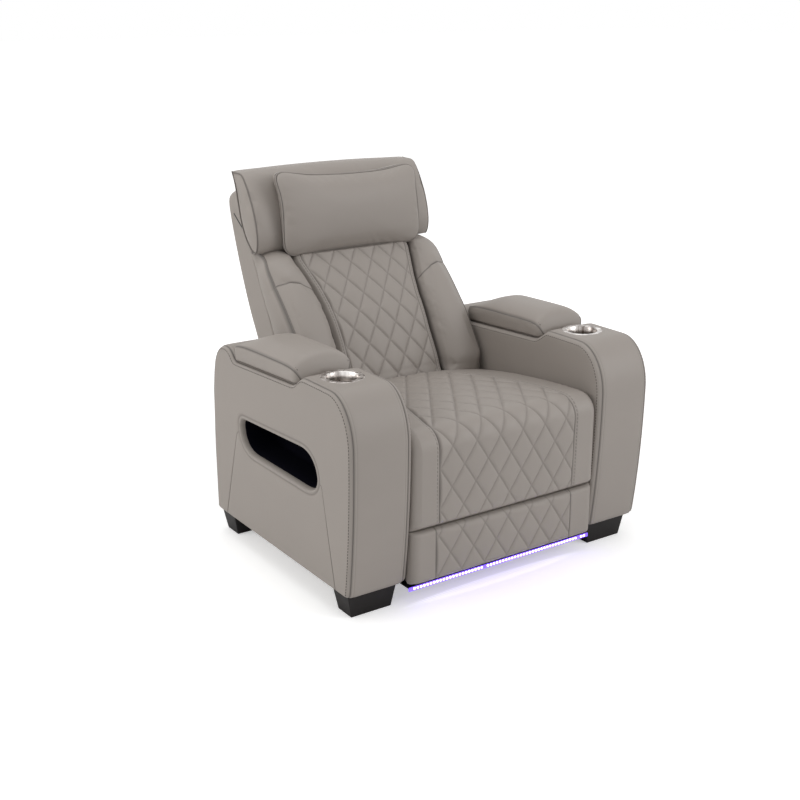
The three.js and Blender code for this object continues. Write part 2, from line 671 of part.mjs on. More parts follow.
function buildBase() {
  const inside = [-armInner + gap, armInner - gap];
  const railZ = [baseRailZ, baseRailZ + railHeight];
  const motorFootY = footrestPivot.y + motorOffset;
  const motorFoot = block([-motorCan, motorCan], [motorFootY - plate, motorFootY + plate],
    [baseRailZ, footrestPivot.z - motorCanDrop - motorCanLength - gap]);
  const frontRail = block(inside, [frontRailY, frontRailY + railDepth], railZ);
  place('front_cross_rail', join(frontRail, motorFoot), blackSteel);
  place('rear_cross_rail', block(inside, [rearRailY, rearRailY + railDepth], railZ), blackSteel);

  const coverY = armY(1) - rearPanel - plate;
  const holeRadius = inletRadius + gap;
  const inletHole = new THREE.CylinderGeometry(holeRadius, holeRadius, rearPanel + 2 * overrun, 24)
    .translate(inletX, coverY + rearPanel / 2, inletZ);
  const cover = block(inside, [coverY, coverY + rearPanel], [rearPanelBottom, rearPanelTop]);
  place('rear_cover', cut(cover, inletHole), leather);
  const socket = new THREE.CylinderGeometry(inletRadius, inletRadius, rearPanel, 24)
    .translate(inletX, coverY + rearPanel / 2 + gap, inletZ);
  const socketBore = new THREE.CylinderGeometry(inletRadius / 2, inletRadius / 2, rearPanel, 16)
    .translate(inletX, coverY + rearPanel, inletZ);
  const collar = block([inletX - inletPlate, inletX + inletPlate],
    [coverY + rearPanel + gap, coverY + rearPanel + gap + plate / 2],
    [inletZ - inletPlate, inletZ + inletPlate]);
  place('power_inlet', cut(join(socket, collar), socketBore), blackPlastic);

  place('control_box', block([-boxSize.x / 2, boxSize.x / 2], [rearRailY - gap - boxSize.y, rearRailY - gap],
    [baseRailZ, baseRailZ + boxSize.z]), blackPlastic);

  gearMotor('footrest_motor', footrestPivot, motorOffset, footrestPivot.z - motorCanDrop - motorCanLength);
  gearMotor('recline_motor', backPivot, -motorOffset, backPivot.z - motorCanDrop - motorCanLength);
  const shelfY = frontRailY - plate - gap;
  const shelfTop = baseRailZ + railHeight;
  const shelf = shapeOf([[shelfFrontY, shelfZ], [shelfY + plate, shelfZ], [shelfY + plate, shelfTop],
    [shelfY, shelfTop], [shelfY, shelfZ + plate], [shelfFrontY, shelfZ + plate]]);
  place('light_shelf', sideExtrude(shelf, inside), blackSteel);
  place('light_strip', block(inside, [shelfFrontY - gap - stripThickness, shelfFrontY - gap],
    [shelfZ + plate - stripHeight, shelfZ + plate]), lightStrip);
}

// Back: three cushions that share a curved tongue round the back pivot
const tongueSteps = 3;
const tongueAngles = Array.from({ length: tongueSteps + 1 }, (_, k) => (
  tongueEndDeg + (k / tongueSteps) * (tongueTopDeg - tongueEndDeg)));
const backLowZ = 450;
const centreDrop = 14;
const bolsterDrop = 1;
const centreTop = headPivot.z - centreDrop;
const bolsterTop = headPivot.z - bolsterDrop;
const backRise = centreTop - backLowZ;
const riseZ = (share) => backLowZ + share * backRise;
// Front of the middle cushion and of the side cushions: share of the rise, and share of the run
// that the face stands behind the pivot's vertical line, then the middle cushion's half width
const centreFaceShares = [[0, -0.27], [0.08, -0.248], [0.33, -0.117], [0.5, -0.021], [0.64, 0.089],
  [0.78, 0.202], [0.9, 0.307], [1, 0.399]];
const bolsterFaceShares = [[0, -0.315], [0.07, -0.35], [0.16, -0.294], [0.33, -0.187], [0.45, -0.104],
  [0.55, -0.015], [0.7, 0.123], [0.8, 0.245], [0.95, 0.37], [1.04, 0.466]];
const centreHalfShares = [[0, 1.02], [0.33, 1], [0.5, 1.012], [0.64, 1.03], [0.78, 1.083], [1, 1.22]];
const centreHalf = bolsterOuter - bolsterWidth;
const baseShares = [[-0.1, -0.15], [0, -0.163], [0.04, 0.02], [0.09, 0.236], [0.386, 0.411], [1.05, 0.77]];
const bolsterCrown = 16;
const cushionSeam = 3;
const bolsterColumns = 8;
const bolsterRows = 14;
const bolsterFadeRows = 3;
const tongueFootShare = 0.09;
const centreLengthShare = 1.24;

const depthY = (share) => backPivot.y + share * backRun;
const centreFaceY = (z) => depthY(along(centreFaceShares, (z - backLowZ) / backRise)[0]);
const bolsterFaceY = (z) => depthY(along(bolsterFaceShares, (z - backLowZ) / backRise)[0]);
const centreHalfAt = (z) => centreHalf * along(centreHalfShares, (z - backLowZ) / backRise)[0];
const baseAt = (share) => {
  const s = Math.max(share, 0);
  return [depthY(along(baseShares, s)[0]), riseZ(s) + (s < tongueFootShare ? tongueThickness / 2 : 0)];
};

function buildBackCushions() {
  const columns = backQuiltColumns + 2;
  const centreRows = Math.round(centreLengthShare * backRise / (backDiamondHeight / quarters));
  const innerRadius = tongueRadius - tongueThickness;
  const profile = (j, rows, top, faceY) => {
    if (j <= tongueSteps) {
      return [tongueRadius, innerRadius].map((radius) => around(backPivot, radius, tongueAngles[j]));
    }
    const share = ((j - tongueSteps - 1) / (rows - 1)) * ((top - backLowZ) / backRise);
    return [[faceY(riseZ(share)), riseZ(share)], baseAt(share)];
  };
  const centre = closedForm({
    columns,
    rows: tongueSteps + centreRows,
    face: (i, j) => {
      const [[y, z]] = profile(j, centreRows, centreTop, centreFaceY);
      const half = centreHalfAt(Math.max(z, backLowZ));
      const x = spreadX(i, backQuiltColumns, half - 2 * softGap, half);
      const onTongue = j <= tongueSteps;
      const rise = i === 0 || i === columns ? quiltPuff : -quiltRise(i - 1, j);
      return [x, y + (onTongue ? 0 : rise), z];
    },
    base: (i, j) => {
      const [[, z], [yBase, zBase]] = profile(j, centreRows, centreTop, centreFaceY);
      const half = centreHalfAt(Math.max(z, backLowZ));
      return [spreadX(i, backQuiltColumns, half - 2 * softGap, half), yBase, zBase];
    },
    splitLeft: (i, j) => quiltSplit(i - 1, j),
  });
  place('back_centre_cushion', centre, leather);

  for (const side of [-1, 1]) {
    const acrossX = (i, z) => {
      const inner = centreHalfAt(Math.max(Math.min(z, centreTop), backLowZ)) + cushionSeam;
      return side * (inner + (i / bolsterColumns) * (bolsterOuter - inner));
    };
    const form = closedForm({
      columns: bolsterColumns,
      rows: tongueSteps + bolsterRows,
      face: (i, j) => {
        const [[y, z]] = profile(j, bolsterRows, bolsterTop, bolsterFaceY);
        const t = i / bolsterColumns;
        const inner = centreFaceY(Math.max(z, backLowZ)) - y;
        const fade = Math.min((tongueSteps + bolsterRows - j) / bolsterFadeRows, 1);
        const crown = fade * (bolsterCrown * (1 - (2 * t - 1) ** 2) + quiltPuff * (1 - t));
        return [acrossX(i, z), j <= tongueSteps ? y : y + inner * (1 - t) ** 3 - crown, z];
      },
      base: (i, j) => {
        const [[, z], [yBase, zBase]] = profile(j, bolsterRows, bolsterTop, bolsterFaceY);
        return [acrossX(i, z), yBase, zBase];
      },
      splitLeft: (i, j) => (i + j) % 2 === 0,
    });
    place(`back_bolster_${sideName(side)}`, form, leather);
  }
}

// Back shell: a tray behind the cushions, closed at the bottom by a skirt round the pivot
const skirtTopDeg = 8;
const skirtSteps = 8;
const shellBackShares = [[0.6, -0.03], [0.69, 0.11], [0.752, 0.255], [0.893, 0.494], [1.028, 0.8],
  [1.16, 1.156]];
const shellLipShare = 1.457;
const shellTopShares = [[1.2, 1.52], [1.12, 1.545], [1.05, 1.53]];
const shellFrontShares = [[0.975, 1.411], [0.77, 1.049], [0.411, 0.3865], [0.255, 0.085]];

const backPoint = ([y, z]) => [depthY(y), riseZ(z)];
const skirtArc = (radius) => Array.from({ length: skirtSteps + 1 }, (_, k) => (
  around(backPivot, radius, skirtEndDeg + (k / skirtSteps) * (skirtTopDeg - skirtEndDeg))));

function buildShell() {
  const frontSide = shellFrontShares.map(backPoint).map(([y, z]) => [y + softGap, z]);
  const inside = ([y, z]) => [y - shellWall, z];
  const below = ([y, z]) => [y - shellWall / 2, z - shellWall];
  const lip = [rear, riseZ(shellLipShare)];
  const backSide = [...shellBackShares.map(backPoint), lip];
  const outline = shapeOf([...skirtArc(skirtRadius), ...backSide,
    ...shellTopShares.map(backPoint), ...frontSide, ...skirtArc(skirtRadius - shellWall).reverse()]);
  const innerBack = backSide.map(inside);
  const hollow = shapeOf([skirtArc(skirtRadius - shellWall).pop(), ...innerBack,
    ...shellTopShares.slice(0, 2).map(backPoint).map(below),
    ...frontSide.map(([y, z]) => [y - overrun, z])]);
  const tray = sideExtrude(outline, [-shellHalf, shellHalf]);
  const room = sideExtrude(hollow, [-shellHalf + shellWall, shellHalf - shellWall]);
  place('back_shell', cut(tray, room), leather);
}

// Back frame inside the shell: recline tube, two uprights, two cross bars
const uprightWidth = 24;
const uprightDepth = 22;
const uprightOuter = shellHalf - shellWall - softGap;
const uprightFootShares = [0.4385, 0.373];
const uprightShares = [[0.3, 0.03], [0.46, 0.3865], [0.83, 1.049]];
const crossShare = 0.6;
const crossLength = 30;

function buildBackFrame() {
  place('recline_tube', barX(tubeRadius, [-armInner + plate, armInner - plate], backPivot), blackSteel);
  const [seatY, seatZ] = bracketShares[bracketSeat];
  const seatPoint = [headY(seatY) + bracketThickness + gap, headZ(seatZ) - plate];
  const [footY, footZ] = uprightFootShares;
  const footPoint = [backPivot.y + footY * bearingRadius, backPivot.z + footZ * bearingRadius];
  const spine = [footPoint, ...uprightShares.map(backPoint), seatPoint];
  const behind = spine.map(([y, z]) => [y + uprightDepth, z - uprightDepth / 2]).reverse();
  const outline = shapeOf([...spine, ...behind]);
  for (const side of [-1, 1]) {
    const x = [side * (uprightOuter - uprightWidth), side * uprightOuter];
    const boreX = [side * (uprightOuter - uprightWidth - overrun), side * (uprightOuter + overrun)];
    const room = barX(tubeRadius + gap, boreX, backPivot);
    const lug = barX(bearingRadius, x, backPivot);
    place(`back_upright_${sideName(side)}`, cut(join(sideExtrude(outline, x), lug), room), blackSteel);
  }
  const reach = uprightOuter - uprightWidth - gap;
  const [crossY] = along(uprightShares.map(([a, b]) => [b, depthY(a)]), crossShare);
  place('back_cross_bar', block([-reach, reach], [crossY + gap, crossY + gap + 2 * plate],
    [riseZ(crossShare), riseZ(crossShare) + crossLength]), blackSteel);
}

// Headrest: a winged core and a pillow, on a rod that turns in a black bracket on the back
const headSideGap = 5;
const headHalf = armInner - headSideGap;
const headLift = 10;
const headBase = { y: headPivot.y, z: headPivot.z + headLift };
const headRise = height - headBase.z;
const headRunShare = 0.8642;
const headRun = (rear - headPivot.y) * headRunShare;
const headFaceShares = [[0, 0.12], [0.12, 0.075], [0.23, 0.06], [0.46, 0.095], [0.74, 0.207], [0.92, 0.35],
  [1, 0.53]];
const headBackShares = [[0, 0.2], [0.2, 0.375], [0.385, 0.543], [0.62, 0.61], [0.85, 0.66], [1, 0.745]];
const headColumns = 8;
const headRows = 10;
const headCrown = 6;
const pillowInset = 57;
const pillowHalf = headHalf - pillowInset;
const pillowColumns = 10;
const pillowEdge = 10;
const pillowFullness = 34;
const pillowTopShare = 0.985;
const rodRadius = 4;
const barrelRadius = 8;
const hookWidth = 26;
const tabWidth = 30;
const bracketInset = 14;
const hookInset = 112;
const hookToTab = 40;
const bracketHalf = shellHalf - bracketInset;
const hookX = bracketHalf - hookInset;
const tabX = hookX - hookToTab;
const bracketSeat = 2;
const bracketShares = [[0.32, -0.05], [0.392, 0.19], [0.56, 0.385], [0.625, 0.6], [0.65, 0.72]];
const bracketThickness = 6;
const hookDrop = 7;

const headY = (share) => headBase.y + share * headRun;
const headZ = (share) => headBase.z + share * headRise;
const headFace = (share) => headY(along(headFaceShares, share)[0]);
const headBack = (share) => headY(along(headBackShares, share)[0]);
const pillowShare = (j) => Math.min(j / headRows, pillowTopShare);
const rimFall = (t) => 1 - (2 * t - 1) ** 4;

function buildHeadrest() {
  const across = (i, columns, half) => (2 * (i / columns) - 1) * half;
  place('headrest_core', closedForm({
    columns: headColumns,
    rows: headRows,
    face: (i, j) => {
      const share = j / headRows;
      const bow = j === headRows ? 0 : headCrown * (1 - (2 * (i / headColumns) - 1) ** 2);
      return [across(i, headColumns, headHalf), headFace(share) - bow, headZ(share)];
    },
    base: (i, j) => [across(i, headColumns, headHalf), headBack(j / headRows), headZ(j / headRows)],
    splitLeft: (i, j) => (i + j) % 2 === 0,
  }), leather);
  place('headrest_pillow', closedForm({
    columns: pillowColumns,
    rows: headRows,
    face: (i, j) => {
      const share = pillowShare(j);
      const swell = Math.sqrt(rimFall(i / pillowColumns) * rimFall(j / headRows));
      const pillowY = headFace(share) - pillowEdge - headCrown - pillowFullness * swell;
      return [across(i, pillowColumns, pillowHalf), pillowY, headZ(share)];
    },
    base: (i, j) => {
      const share = pillowShare(j);
      return [across(i, pillowColumns, pillowHalf), headFace(share) - headCrown - softGap, headZ(share)];
    },
    splitLeft: (i, j) => (i + j) % 2 === 0,
  }), leather);

  const tabs = [-1, 1].map((side) => block([side * tabX, side * (tabX + tabWidth)],
    [headPivot.y - rodRadius / 2, headBack(0)], [headPivot.z + rodRadius / 2, headBase.z - gap]));
  const rod = barX(rodRadius, [-hookX - hookWidth, hookX + hookWidth], headPivot, 16);
  place('headrest_rod', join(rod, ...tabs), blackSteel);

  const bracketFront = bracketShares.map(([y, z]) => [headY(y), headZ(z)]);
  const rise = bracketFront.slice(1);
  const bent = (points) => {
    const behind = points.map(([y, z]) => [y + bracketThickness, z - plate]).reverse();
    return shapeOf([...points, ...behind]);
  };
  const back = sideExtrude(bent(rise), [-bracketHalf, bracketHalf]);
  const hookZ = headPivot.z - hookDrop;
  const hooks = [-1, 1].flatMap((side) => {
    const x = [side * hookX, side * (hookX + hookWidth)];
    return [sideExtrude(bent([[bracketFront[0][0], hookZ + plate], ...bracketFront]), x),
      block(x, [headPivot.y, bracketFront[0][0] + bracketThickness], [hookZ, hookZ + 2 * plate]),
      barX(barrelRadius, x, headPivot, 20)];
  });
  const boreEnd = hookX + hookWidth + overrun;
  const bore = barX(rodRadius + gap, [-boreEnd, boreEnd], headPivot, 16);
  place('headrest_bracket', cut(join(back, ...hooks), bore), blackSteel);
}

// Control panel on the inner face of one arm: round push buttons and a charging socket
const panelFromFront = 190;
const panelLength = 125;
const panelY = [front + panelFromFront, front + panelFromFront + panelLength];
const panelZ = [505, 535];
const panelPlate = 4;
const buttonNames = ['open', 'close', 'up', 'light'];
const buttonRadius = 6.5;
const buttonPitch = 22;
const firstButtonShare = 0.75;
const buttonStand = 2.5;
const buttonBack = 1.5;
const portSize = { y: 13, z: 6 };

function buildControls() {
  const face = -armInner + gap;
  const middleZ = (panelZ[0] + panelZ[1]) / 2;
  const buttonY = (k) => panelY[0] + buttonPitch * (k + firstButtonShare);
  const through = [face - overrun, face + panelPlate + overrun];
  const holeRadius = buttonRadius + 2 * gap;
  const holes = buttonNames.map((_, k) => barX(holeRadius, through, { y: buttonY(k), z: middleZ }, 20));
  const portY = buttonY(buttonNames.length);
  const port = block(through, [portY - portSize.y / 2, portY + portSize.y / 2],
    [middleZ - portSize.z / 2, middleZ + portSize.z / 2]);
  place('control_panel', cut(block([face, face + panelPlate], panelY, panelZ), ...holes, port), blackPlastic);
  buttonNames.forEach((name, k) => {
    place(`button_${name}`, barX(buttonRadius, [face + buttonBack, face + panelPlate + buttonStand],
      { y: buttonY(k), z: middleZ }, 20), brushedSteel);
  });
}

buildArm(-1);
buildArm(1);
for (const side of [-1, 1]) {
  foot(`foot_front_${sideName(side)}`, side, armY(frontFootShare) + footLength / 2);
  foot(`foot_rear_${sideName(side)}`, side, armY(rearFootShare) + footLength / 2 - footTaper);
}
buildSeat();
buildSeatFrame();
buildFootrest();
buildBase();
buildBackCushions();
buildShell();
buildBackFrame();
buildHeadrest();
buildControls();

export default seat;
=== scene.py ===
# %% [markdown]
# # A powered cinema recliner
#
# The recliner is upholstered in taupe leather: quilted seat, footrest and back, plain side cushions,
# box arms with a lid and a cup holder, and a strip of light under the footrest. The imported model gives
# every piece its place. Each soft piece here is built round that place as a fine mesh.
#
# First come the modules and the frame.

# %% Load the frame
import math

import bmesh
import bpy
import numpy as np
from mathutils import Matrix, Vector
from mathutils.kdtree import KDTree


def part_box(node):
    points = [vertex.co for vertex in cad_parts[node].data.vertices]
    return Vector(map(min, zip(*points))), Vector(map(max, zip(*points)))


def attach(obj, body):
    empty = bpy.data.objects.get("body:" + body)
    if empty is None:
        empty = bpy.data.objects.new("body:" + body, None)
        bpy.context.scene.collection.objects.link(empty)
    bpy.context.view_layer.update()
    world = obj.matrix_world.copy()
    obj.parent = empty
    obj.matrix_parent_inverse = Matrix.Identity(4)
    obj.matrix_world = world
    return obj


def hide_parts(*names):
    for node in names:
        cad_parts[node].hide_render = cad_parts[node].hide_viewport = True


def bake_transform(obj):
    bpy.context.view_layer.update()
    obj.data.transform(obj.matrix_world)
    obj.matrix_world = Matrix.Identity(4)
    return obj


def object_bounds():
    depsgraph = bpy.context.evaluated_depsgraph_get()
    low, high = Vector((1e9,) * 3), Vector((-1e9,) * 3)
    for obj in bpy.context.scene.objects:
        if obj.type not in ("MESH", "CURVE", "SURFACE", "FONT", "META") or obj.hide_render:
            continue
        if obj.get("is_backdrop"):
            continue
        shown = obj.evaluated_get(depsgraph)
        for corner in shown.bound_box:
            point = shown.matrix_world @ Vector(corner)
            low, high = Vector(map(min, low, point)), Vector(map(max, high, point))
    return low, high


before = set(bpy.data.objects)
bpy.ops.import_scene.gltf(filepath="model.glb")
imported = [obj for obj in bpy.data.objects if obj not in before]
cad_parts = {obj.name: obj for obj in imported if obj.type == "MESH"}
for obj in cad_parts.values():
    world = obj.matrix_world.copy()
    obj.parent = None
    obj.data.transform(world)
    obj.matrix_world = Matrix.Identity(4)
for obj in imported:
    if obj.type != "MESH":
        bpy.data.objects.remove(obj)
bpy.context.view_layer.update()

# %% [markdown]
# ## Camera
#
# The seat is seen from its front left, from a little above. Three things make a photograph's view:
# where the camera stands, which way it looks, and how long its lens is. All were found by fitting the
# three lengths that are written beside the seat.

# %% Camera
CAMERA_PLACE = Vector((-1.9656, -2.8835, 1.5163))
CAMERA_LOOK = Vector((0.5356, 0.7852, -0.3107))
LENS_MM = 55.91

camera_data = bpy.data.cameras.new("camera")
camera_data.lens = LENS_MM
camera_data.sensor_width = 36.0
camera = bpy.data.objects.new("camera", camera_data)
camera.location = CAMERA_PLACE
camera.rotation_euler = CAMERA_LOOK.to_track_quat("-Z", "Y").to_euler()
bpy.context.scene.collection.objects.link(camera)
bpy.context.scene.camera = camera
bpy.context.scene.view_settings.view_transform = "Standard"
print("camera", LENS_MM, "mm lens")

# %% [markdown]
# ## Studio
#
# A product studio has a white floor that runs into a white wall. A pale world gives the even fill, and
# three large soft lamps give the seat its shape. The world is plain white only for the camera and for
# reflections. The floor comes last, when everything that stands on it is there.
#
# Shaders need many small sums, so a helper makes a node for one sum and wires what goes into it.


# %% World and lamps
def maths(tree, operation, *values, clamp=False):
    """A node that does one sum. Each value is a number or another node's output."""
    node = tree.nodes.new("ShaderNodeMath")
    node.operation = operation
    node.use_clamp = clamp
    for socket, value in zip(node.inputs, values):
        if isinstance(value, (int, float)):
            socket.default_value = value
        else:
            tree.links.new(value, socket)
    return node.outputs[0]


def set_world(fill=0.55):
    """Gives an even fill of light, and plain white where the world itself is seen."""
    world = bpy.data.worlds.new("studio")
    world.use_nodes = True
    tree = world.node_tree
    tree.nodes.clear()
    out = tree.nodes.new("ShaderNodeOutputWorld")
    mix = tree.nodes.new("ShaderNodeMixShader")
    path = tree.nodes.new("ShaderNodeLightPath").outputs
    direct = maths(tree, "MAXIMUM", path["Is Camera Ray"], path["Is Transmission Ray"])
    tree.links.new(maths(tree, "MAXIMUM", direct, path["Is Glossy Ray"]), mix.inputs["Fac"])
    for socket, colour, strength in ((1, (1.0, 0.995, 0.985, 1), fill), (2, (1, 1, 1, 1), 1.0)):
        light = tree.nodes.new("ShaderNodeBackground")
        light.inputs["Color"].default_value = colour
        light.inputs["Strength"].default_value = strength
        tree.links.new(light.outputs[0], mix.inputs[socket])
    tree.links.new(mix.outputs[0], out.inputs["Surface"])
    bpy.context.scene.world = world


def soft_lamp(name, place, target, size, watts, colour=(1, 1, 1)):
    data = bpy.data.lights.new(name, "AREA")
    data.shape = "SQUARE"
    data.size = size
    data.energy = watts
    data.color = colour
    lamp = bpy.data.objects.new(name, data)
    lamp.location = place
    lamp.rotation_euler = (Vector(target) - Vector(place)).to_track_quat("-Z", "Y").to_euler()
    bpy.context.scene.collection.objects.link(lamp)


set_world()
soft_lamp("left rear", (-3.8, 1.3, 1.7), (-0.2, 0, 0.4), 3.0, 47, (1.0, 0.985, 0.965))
soft_lamp("overhead", (-0.4, 0.3, 4.2), (0, 0, 0.4), 3.0, 42)
soft_lamp("right front", (2.8, -3.8, 2.4), (0, 0, 0.4), 2.5, 62, (0.98, 0.985, 1.0))
print("lamps", len(bpy.data.lights))


# %% [markdown]
# ## Mesh helpers
#
# Almost every soft piece here is a sheet of points in rows and columns, bent into shape by a formula.
# NumPy works out all the points at once, which is much quicker than moving vertices one by one.
# A pad is two such sheets, a face and a back, that are joined round the edge. Most other cushions are
# rings of points, one behind the other, with a flat face that closes each end.


# %% Helpers for meshes
MM = 0.001
SIDES = (-1, 1)
SIDE_NAMES = {-1: "left", 1: "right"}


def new_piece(name, points, faces, body, finish, seam_shade=None):
    """A mesh from points in millimetres. Its last argument is painted shade per point, 1 where leather is
    sewn.
    """
    mesh = bpy.data.meshes.new(name)
    mesh.from_pydata([tuple(p) for p in np.asarray(points, float) * MM], [], faces)
    mesh.update()
    # Quads are smooth, and the many-sided faces that close an end are flat
    mesh.polygons.foreach_set("use_smooth", [len(face) <= 4 for face in faces])
    if seam_shade is not None:
        attribute = mesh.attributes.new("seam_shade", "FLOAT", "POINT")
        attribute.data.foreach_set("value", np.asarray(seam_shade, np.float32))
    piece = bpy.data.objects.new(name, mesh)
    bpy.context.scene.collection.objects.link(piece)
    mesh.materials.append(finish)
    if body:
        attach(piece, body)
    return piece


def grid_faces(rows, columns, start=0, closed=False, flip=False):
    """Quads of a sheet of points. closed joins the last column to the first."""
    faces = []
    last = columns if closed else columns - 1
    for j in range(rows - 1):
        for i in range(last):
            a = start + j * columns + i
            b = start + j * columns + (i + 1) % columns
            quad = (a, b, b + columns, a + columns)
            faces.append(quad[::-1] if flip else quad)
    return faces


def closed_faces(rows, columns, turned=False):
    """Quads of rings that follow each other, and a face that closes each end.

    Both end faces look the same way. turned turns the first, so that all faces look out or all in.
    """
    first = tuple(range(columns))
    last = tuple(range((rows - 1) * columns, rows * columns))
    return grid_faces(rows, columns, closed=True) + [first[::-1] if turned else first, last]


def pad_mesh(face, back):
    """Points and faces of a closed pad from two sheets of the same rows and columns."""
    rows, columns = face.shape[:2]
    points = np.concatenate([face.reshape(-1, 3), back.reshape(-1, 3)])
    count = rows * columns
    faces = grid_faces(rows, columns) + grid_faces(rows, columns, count, flip=True)
    rim = list(range(columns))
    rim += [j * columns + columns - 1 for j in range(1, rows)]
    rim += [(rows - 1) * columns + i for i in range(columns - 2, -1, -1)]
    rim += [j * columns for j in range(rows - 2, 0, -1)]
    for k, a in enumerate(rim):
        b = rim[(k + 1) % len(rim)]
        faces.append((b, a, a + count, b + count))
    return points, faces


def face_outwards(piece):
    """Turns the faces of a closed mesh outwards."""
    work = bmesh.new()
    work.from_mesh(piece.data)
    bmesh.ops.recalc_face_normals(work, faces=work.faces)
    work.to_mesh(piece.data)
    work.free()
    return piece


def new_solid(name, points, faces, body, finish, seam_shade=None):
    """A closed mesh, with its faces turned outwards."""
    return face_outwards(new_piece(name, points, faces, body, finish, seam_shade))


def drop_loose_points(piece):
    """Takes out the points that no face uses, where a hole was left."""
    work = bmesh.new()
    work.from_mesh(piece.data)
    bmesh.ops.delete(work, geom=[v for v in work.verts if not v.link_faces], context="VERTS")
    work.to_mesh(piece.data)
    work.free()


def bell(distance, width):
    """1 at distance 0, and nearly 0 at twice the width."""
    return np.exp(-((distance / width) ** 2))


def ease(value, low, high):
    """0 below low, 1 above high, and smooth between them."""
    t = np.clip((np.asarray(value, float) - low) / (high - low), 0, 1)
    return t * t * (3 - 2 * t)


def closed_line(points):
    """The same line with its first point once more at its end."""
    return np.vstack([points, points[:1]])


def reach_along(points):
    """How far along a line each of its points lies."""
    return np.r_[0, np.cumsum(np.linalg.norm(np.diff(points, axis=0), axis=1))]


def at_reach(at, reach, points):
    """Points of a line at these distances along it."""
    return np.stack([np.interp(at, reach, points[:, k]) for k in range(points.shape[1])], 1)


def resample(points, step, closed=False):
    """Points at an even step along a line."""
    points = np.asarray(points, float)
    if closed:
        points = closed_line(points)
    reach = reach_along(points)
    count = max(int(round(reach[-1] / step)), 2)
    at = np.linspace(0, reach[-1], count + 1)
    if closed:
        at = at[:-1]
    return at_reach(at, reach, points)


def place_at(x, line):
    """Puts a line in (y, z) at this x."""
    return np.stack([np.full(len(line), x), line[:, 0], line[:, 1]], 1)


def smooth_line(points, rounds=2, closed=False):
    """Rounds the corners of a line by cutting them, which is Chaikin's way."""
    points = np.asarray(points, float)
    for _ in range(rounds):
        after = np.roll(points, -1, axis=0) if closed else points[1:]
        before = points if closed else points[:-1]
        near = 0.75 * before + 0.25 * after
        far = 0.25 * before + 0.75 * after
        middle = np.stack([near, far], 1).reshape(-1, points.shape[1])
        points = middle if closed else np.vstack([points[:1], middle, points[-1:]])
    return points


def tube_mesh(path, radius, sides=8, closed=False):
    """A round cord along a line, with its rings kept from twisting."""
    path = np.asarray(path, float)
    ahead = np.roll(path, -1, 0) - np.roll(path, 1, 0) if closed else np.gradient(path, axis=0)
    ahead /= np.linalg.norm(ahead, axis=1)[:, None] + 1e-12
    side = np.cross(ahead[0], [0.3, 0.2, 0.93])
    side /= np.linalg.norm(side)
    rings = []
    for point, direction in zip(path, ahead):
        side = side - direction * side.dot(direction)
        side /= np.linalg.norm(side) + 1e-12
        other = np.cross(direction, side)
        turn = np.linspace(0, 2 * math.pi, sides, endpoint=False)
        rings.append(point + radius * (np.outer(np.cos(turn), side) + np.outer(np.sin(turn), other)))
    points = np.concatenate(rings)
    if not closed:
        return points, closed_faces(len(path), sides, turned=True)
    faces = grid_faces(len(path), sides, closed=True)
    # The rings may come back turned, so the last one meets the first at its nearest point
    first, last = rings[0], rings[-1]
    shift = int(np.argmin([np.linalg.norm(np.roll(first, -k, 0) - last) for k in range(sides)]))
    base = (len(path) - 1) * sides
    for i in range(sides):
        a, b = base + i, base + (i + 1) % sides
        faces.append((a, b, (i + 1 + shift) % sides, (i + shift) % sides))
    return points, faces


def join_meshes(parts):
    """One mesh from several, each given as its points and faces."""
    points, faces, start = [], [], 0
    for p, f in parts:
        points.append(np.asarray(p))
        faces += [tuple(start + k for k in face) for face in f]
        start += len(p)
    return np.concatenate(points), faces


test_points, test_faces = tube_mesh([(0, 0, 0), (0, 0, 10)], 1.0)
print("a short cord has", len(test_points), "points and", len(test_faces), "faces")


# %% [markdown]
# ## Materials
#
# Leather is a colour with a fine pebbled grain and small changes of tone. Painted shade darkens it along
# its seams and creases, and round its rounded edges. Several finishes share the grain, so it is one node
# group with named inputs. The value that says how much shade is painted is kept on the mesh's points, and it
# is 1 where the leather is drawn in.
#
# Every group here puts out a colour, a roughness and a height. Two helpers take up what the groups
# and the materials have in common.


# %% What groups and materials share
GROUP_OUTPUTS = (("Colour", "Color"), ("Roughness", "Float"), ("Height", "Float"))


def start_group(name, inputs):
    """A node group with these inputs: label, kind and value. It puts out what a finish needs."""
    group = bpy.data.node_groups.new(name, "ShaderNodeTree")
    for label, kind, default in inputs:
        socket = group.interface.new_socket(label, in_out="INPUT", socket_type="NodeSocket" + kind)
        socket.default_value = default
    for label, kind in GROUP_OUTPUTS:
        group.interface.new_socket(label, in_out="OUTPUT", socket_type="NodeSocket" + kind)
    start = group.nodes.new("NodeGroupInput").outputs
    end = group.nodes.new("NodeGroupOutput").inputs
    where = group.nodes.new("ShaderNodeTexCoord").outputs["Object"]
    return group, start, end, where


def group_finish(name, group, values, bump, depth):
    """A material that takes its colour, roughness and relief from a group with these values."""
    finish = bpy.data.materials.new(name)
    finish.use_nodes = True
    nodes, links = finish.node_tree.nodes, finish.node_tree.links
    shader = nodes["Principled BSDF"].inputs
    detail = nodes.new("ShaderNodeGroup")
    detail.node_tree = group
    for label, value in values.items():
        detail.inputs[label].default_value = value
    links.new(detail.outputs["Colour"], shader["Base Color"])
    links.new(detail.outputs["Roughness"], shader["Roughness"])
    relief = nodes.new("ShaderNodeBump")
    relief.inputs["Strength"].default_value = bump
    relief.inputs["Distance"].default_value = depth
    links.new(detail.outputs["Height"], relief.inputs["Height"])
    links.new(relief.outputs["Normal"], shader["Normal"])
    return finish, shader


print("every group puts out", [label for label, kind in GROUP_OUTPUTS])


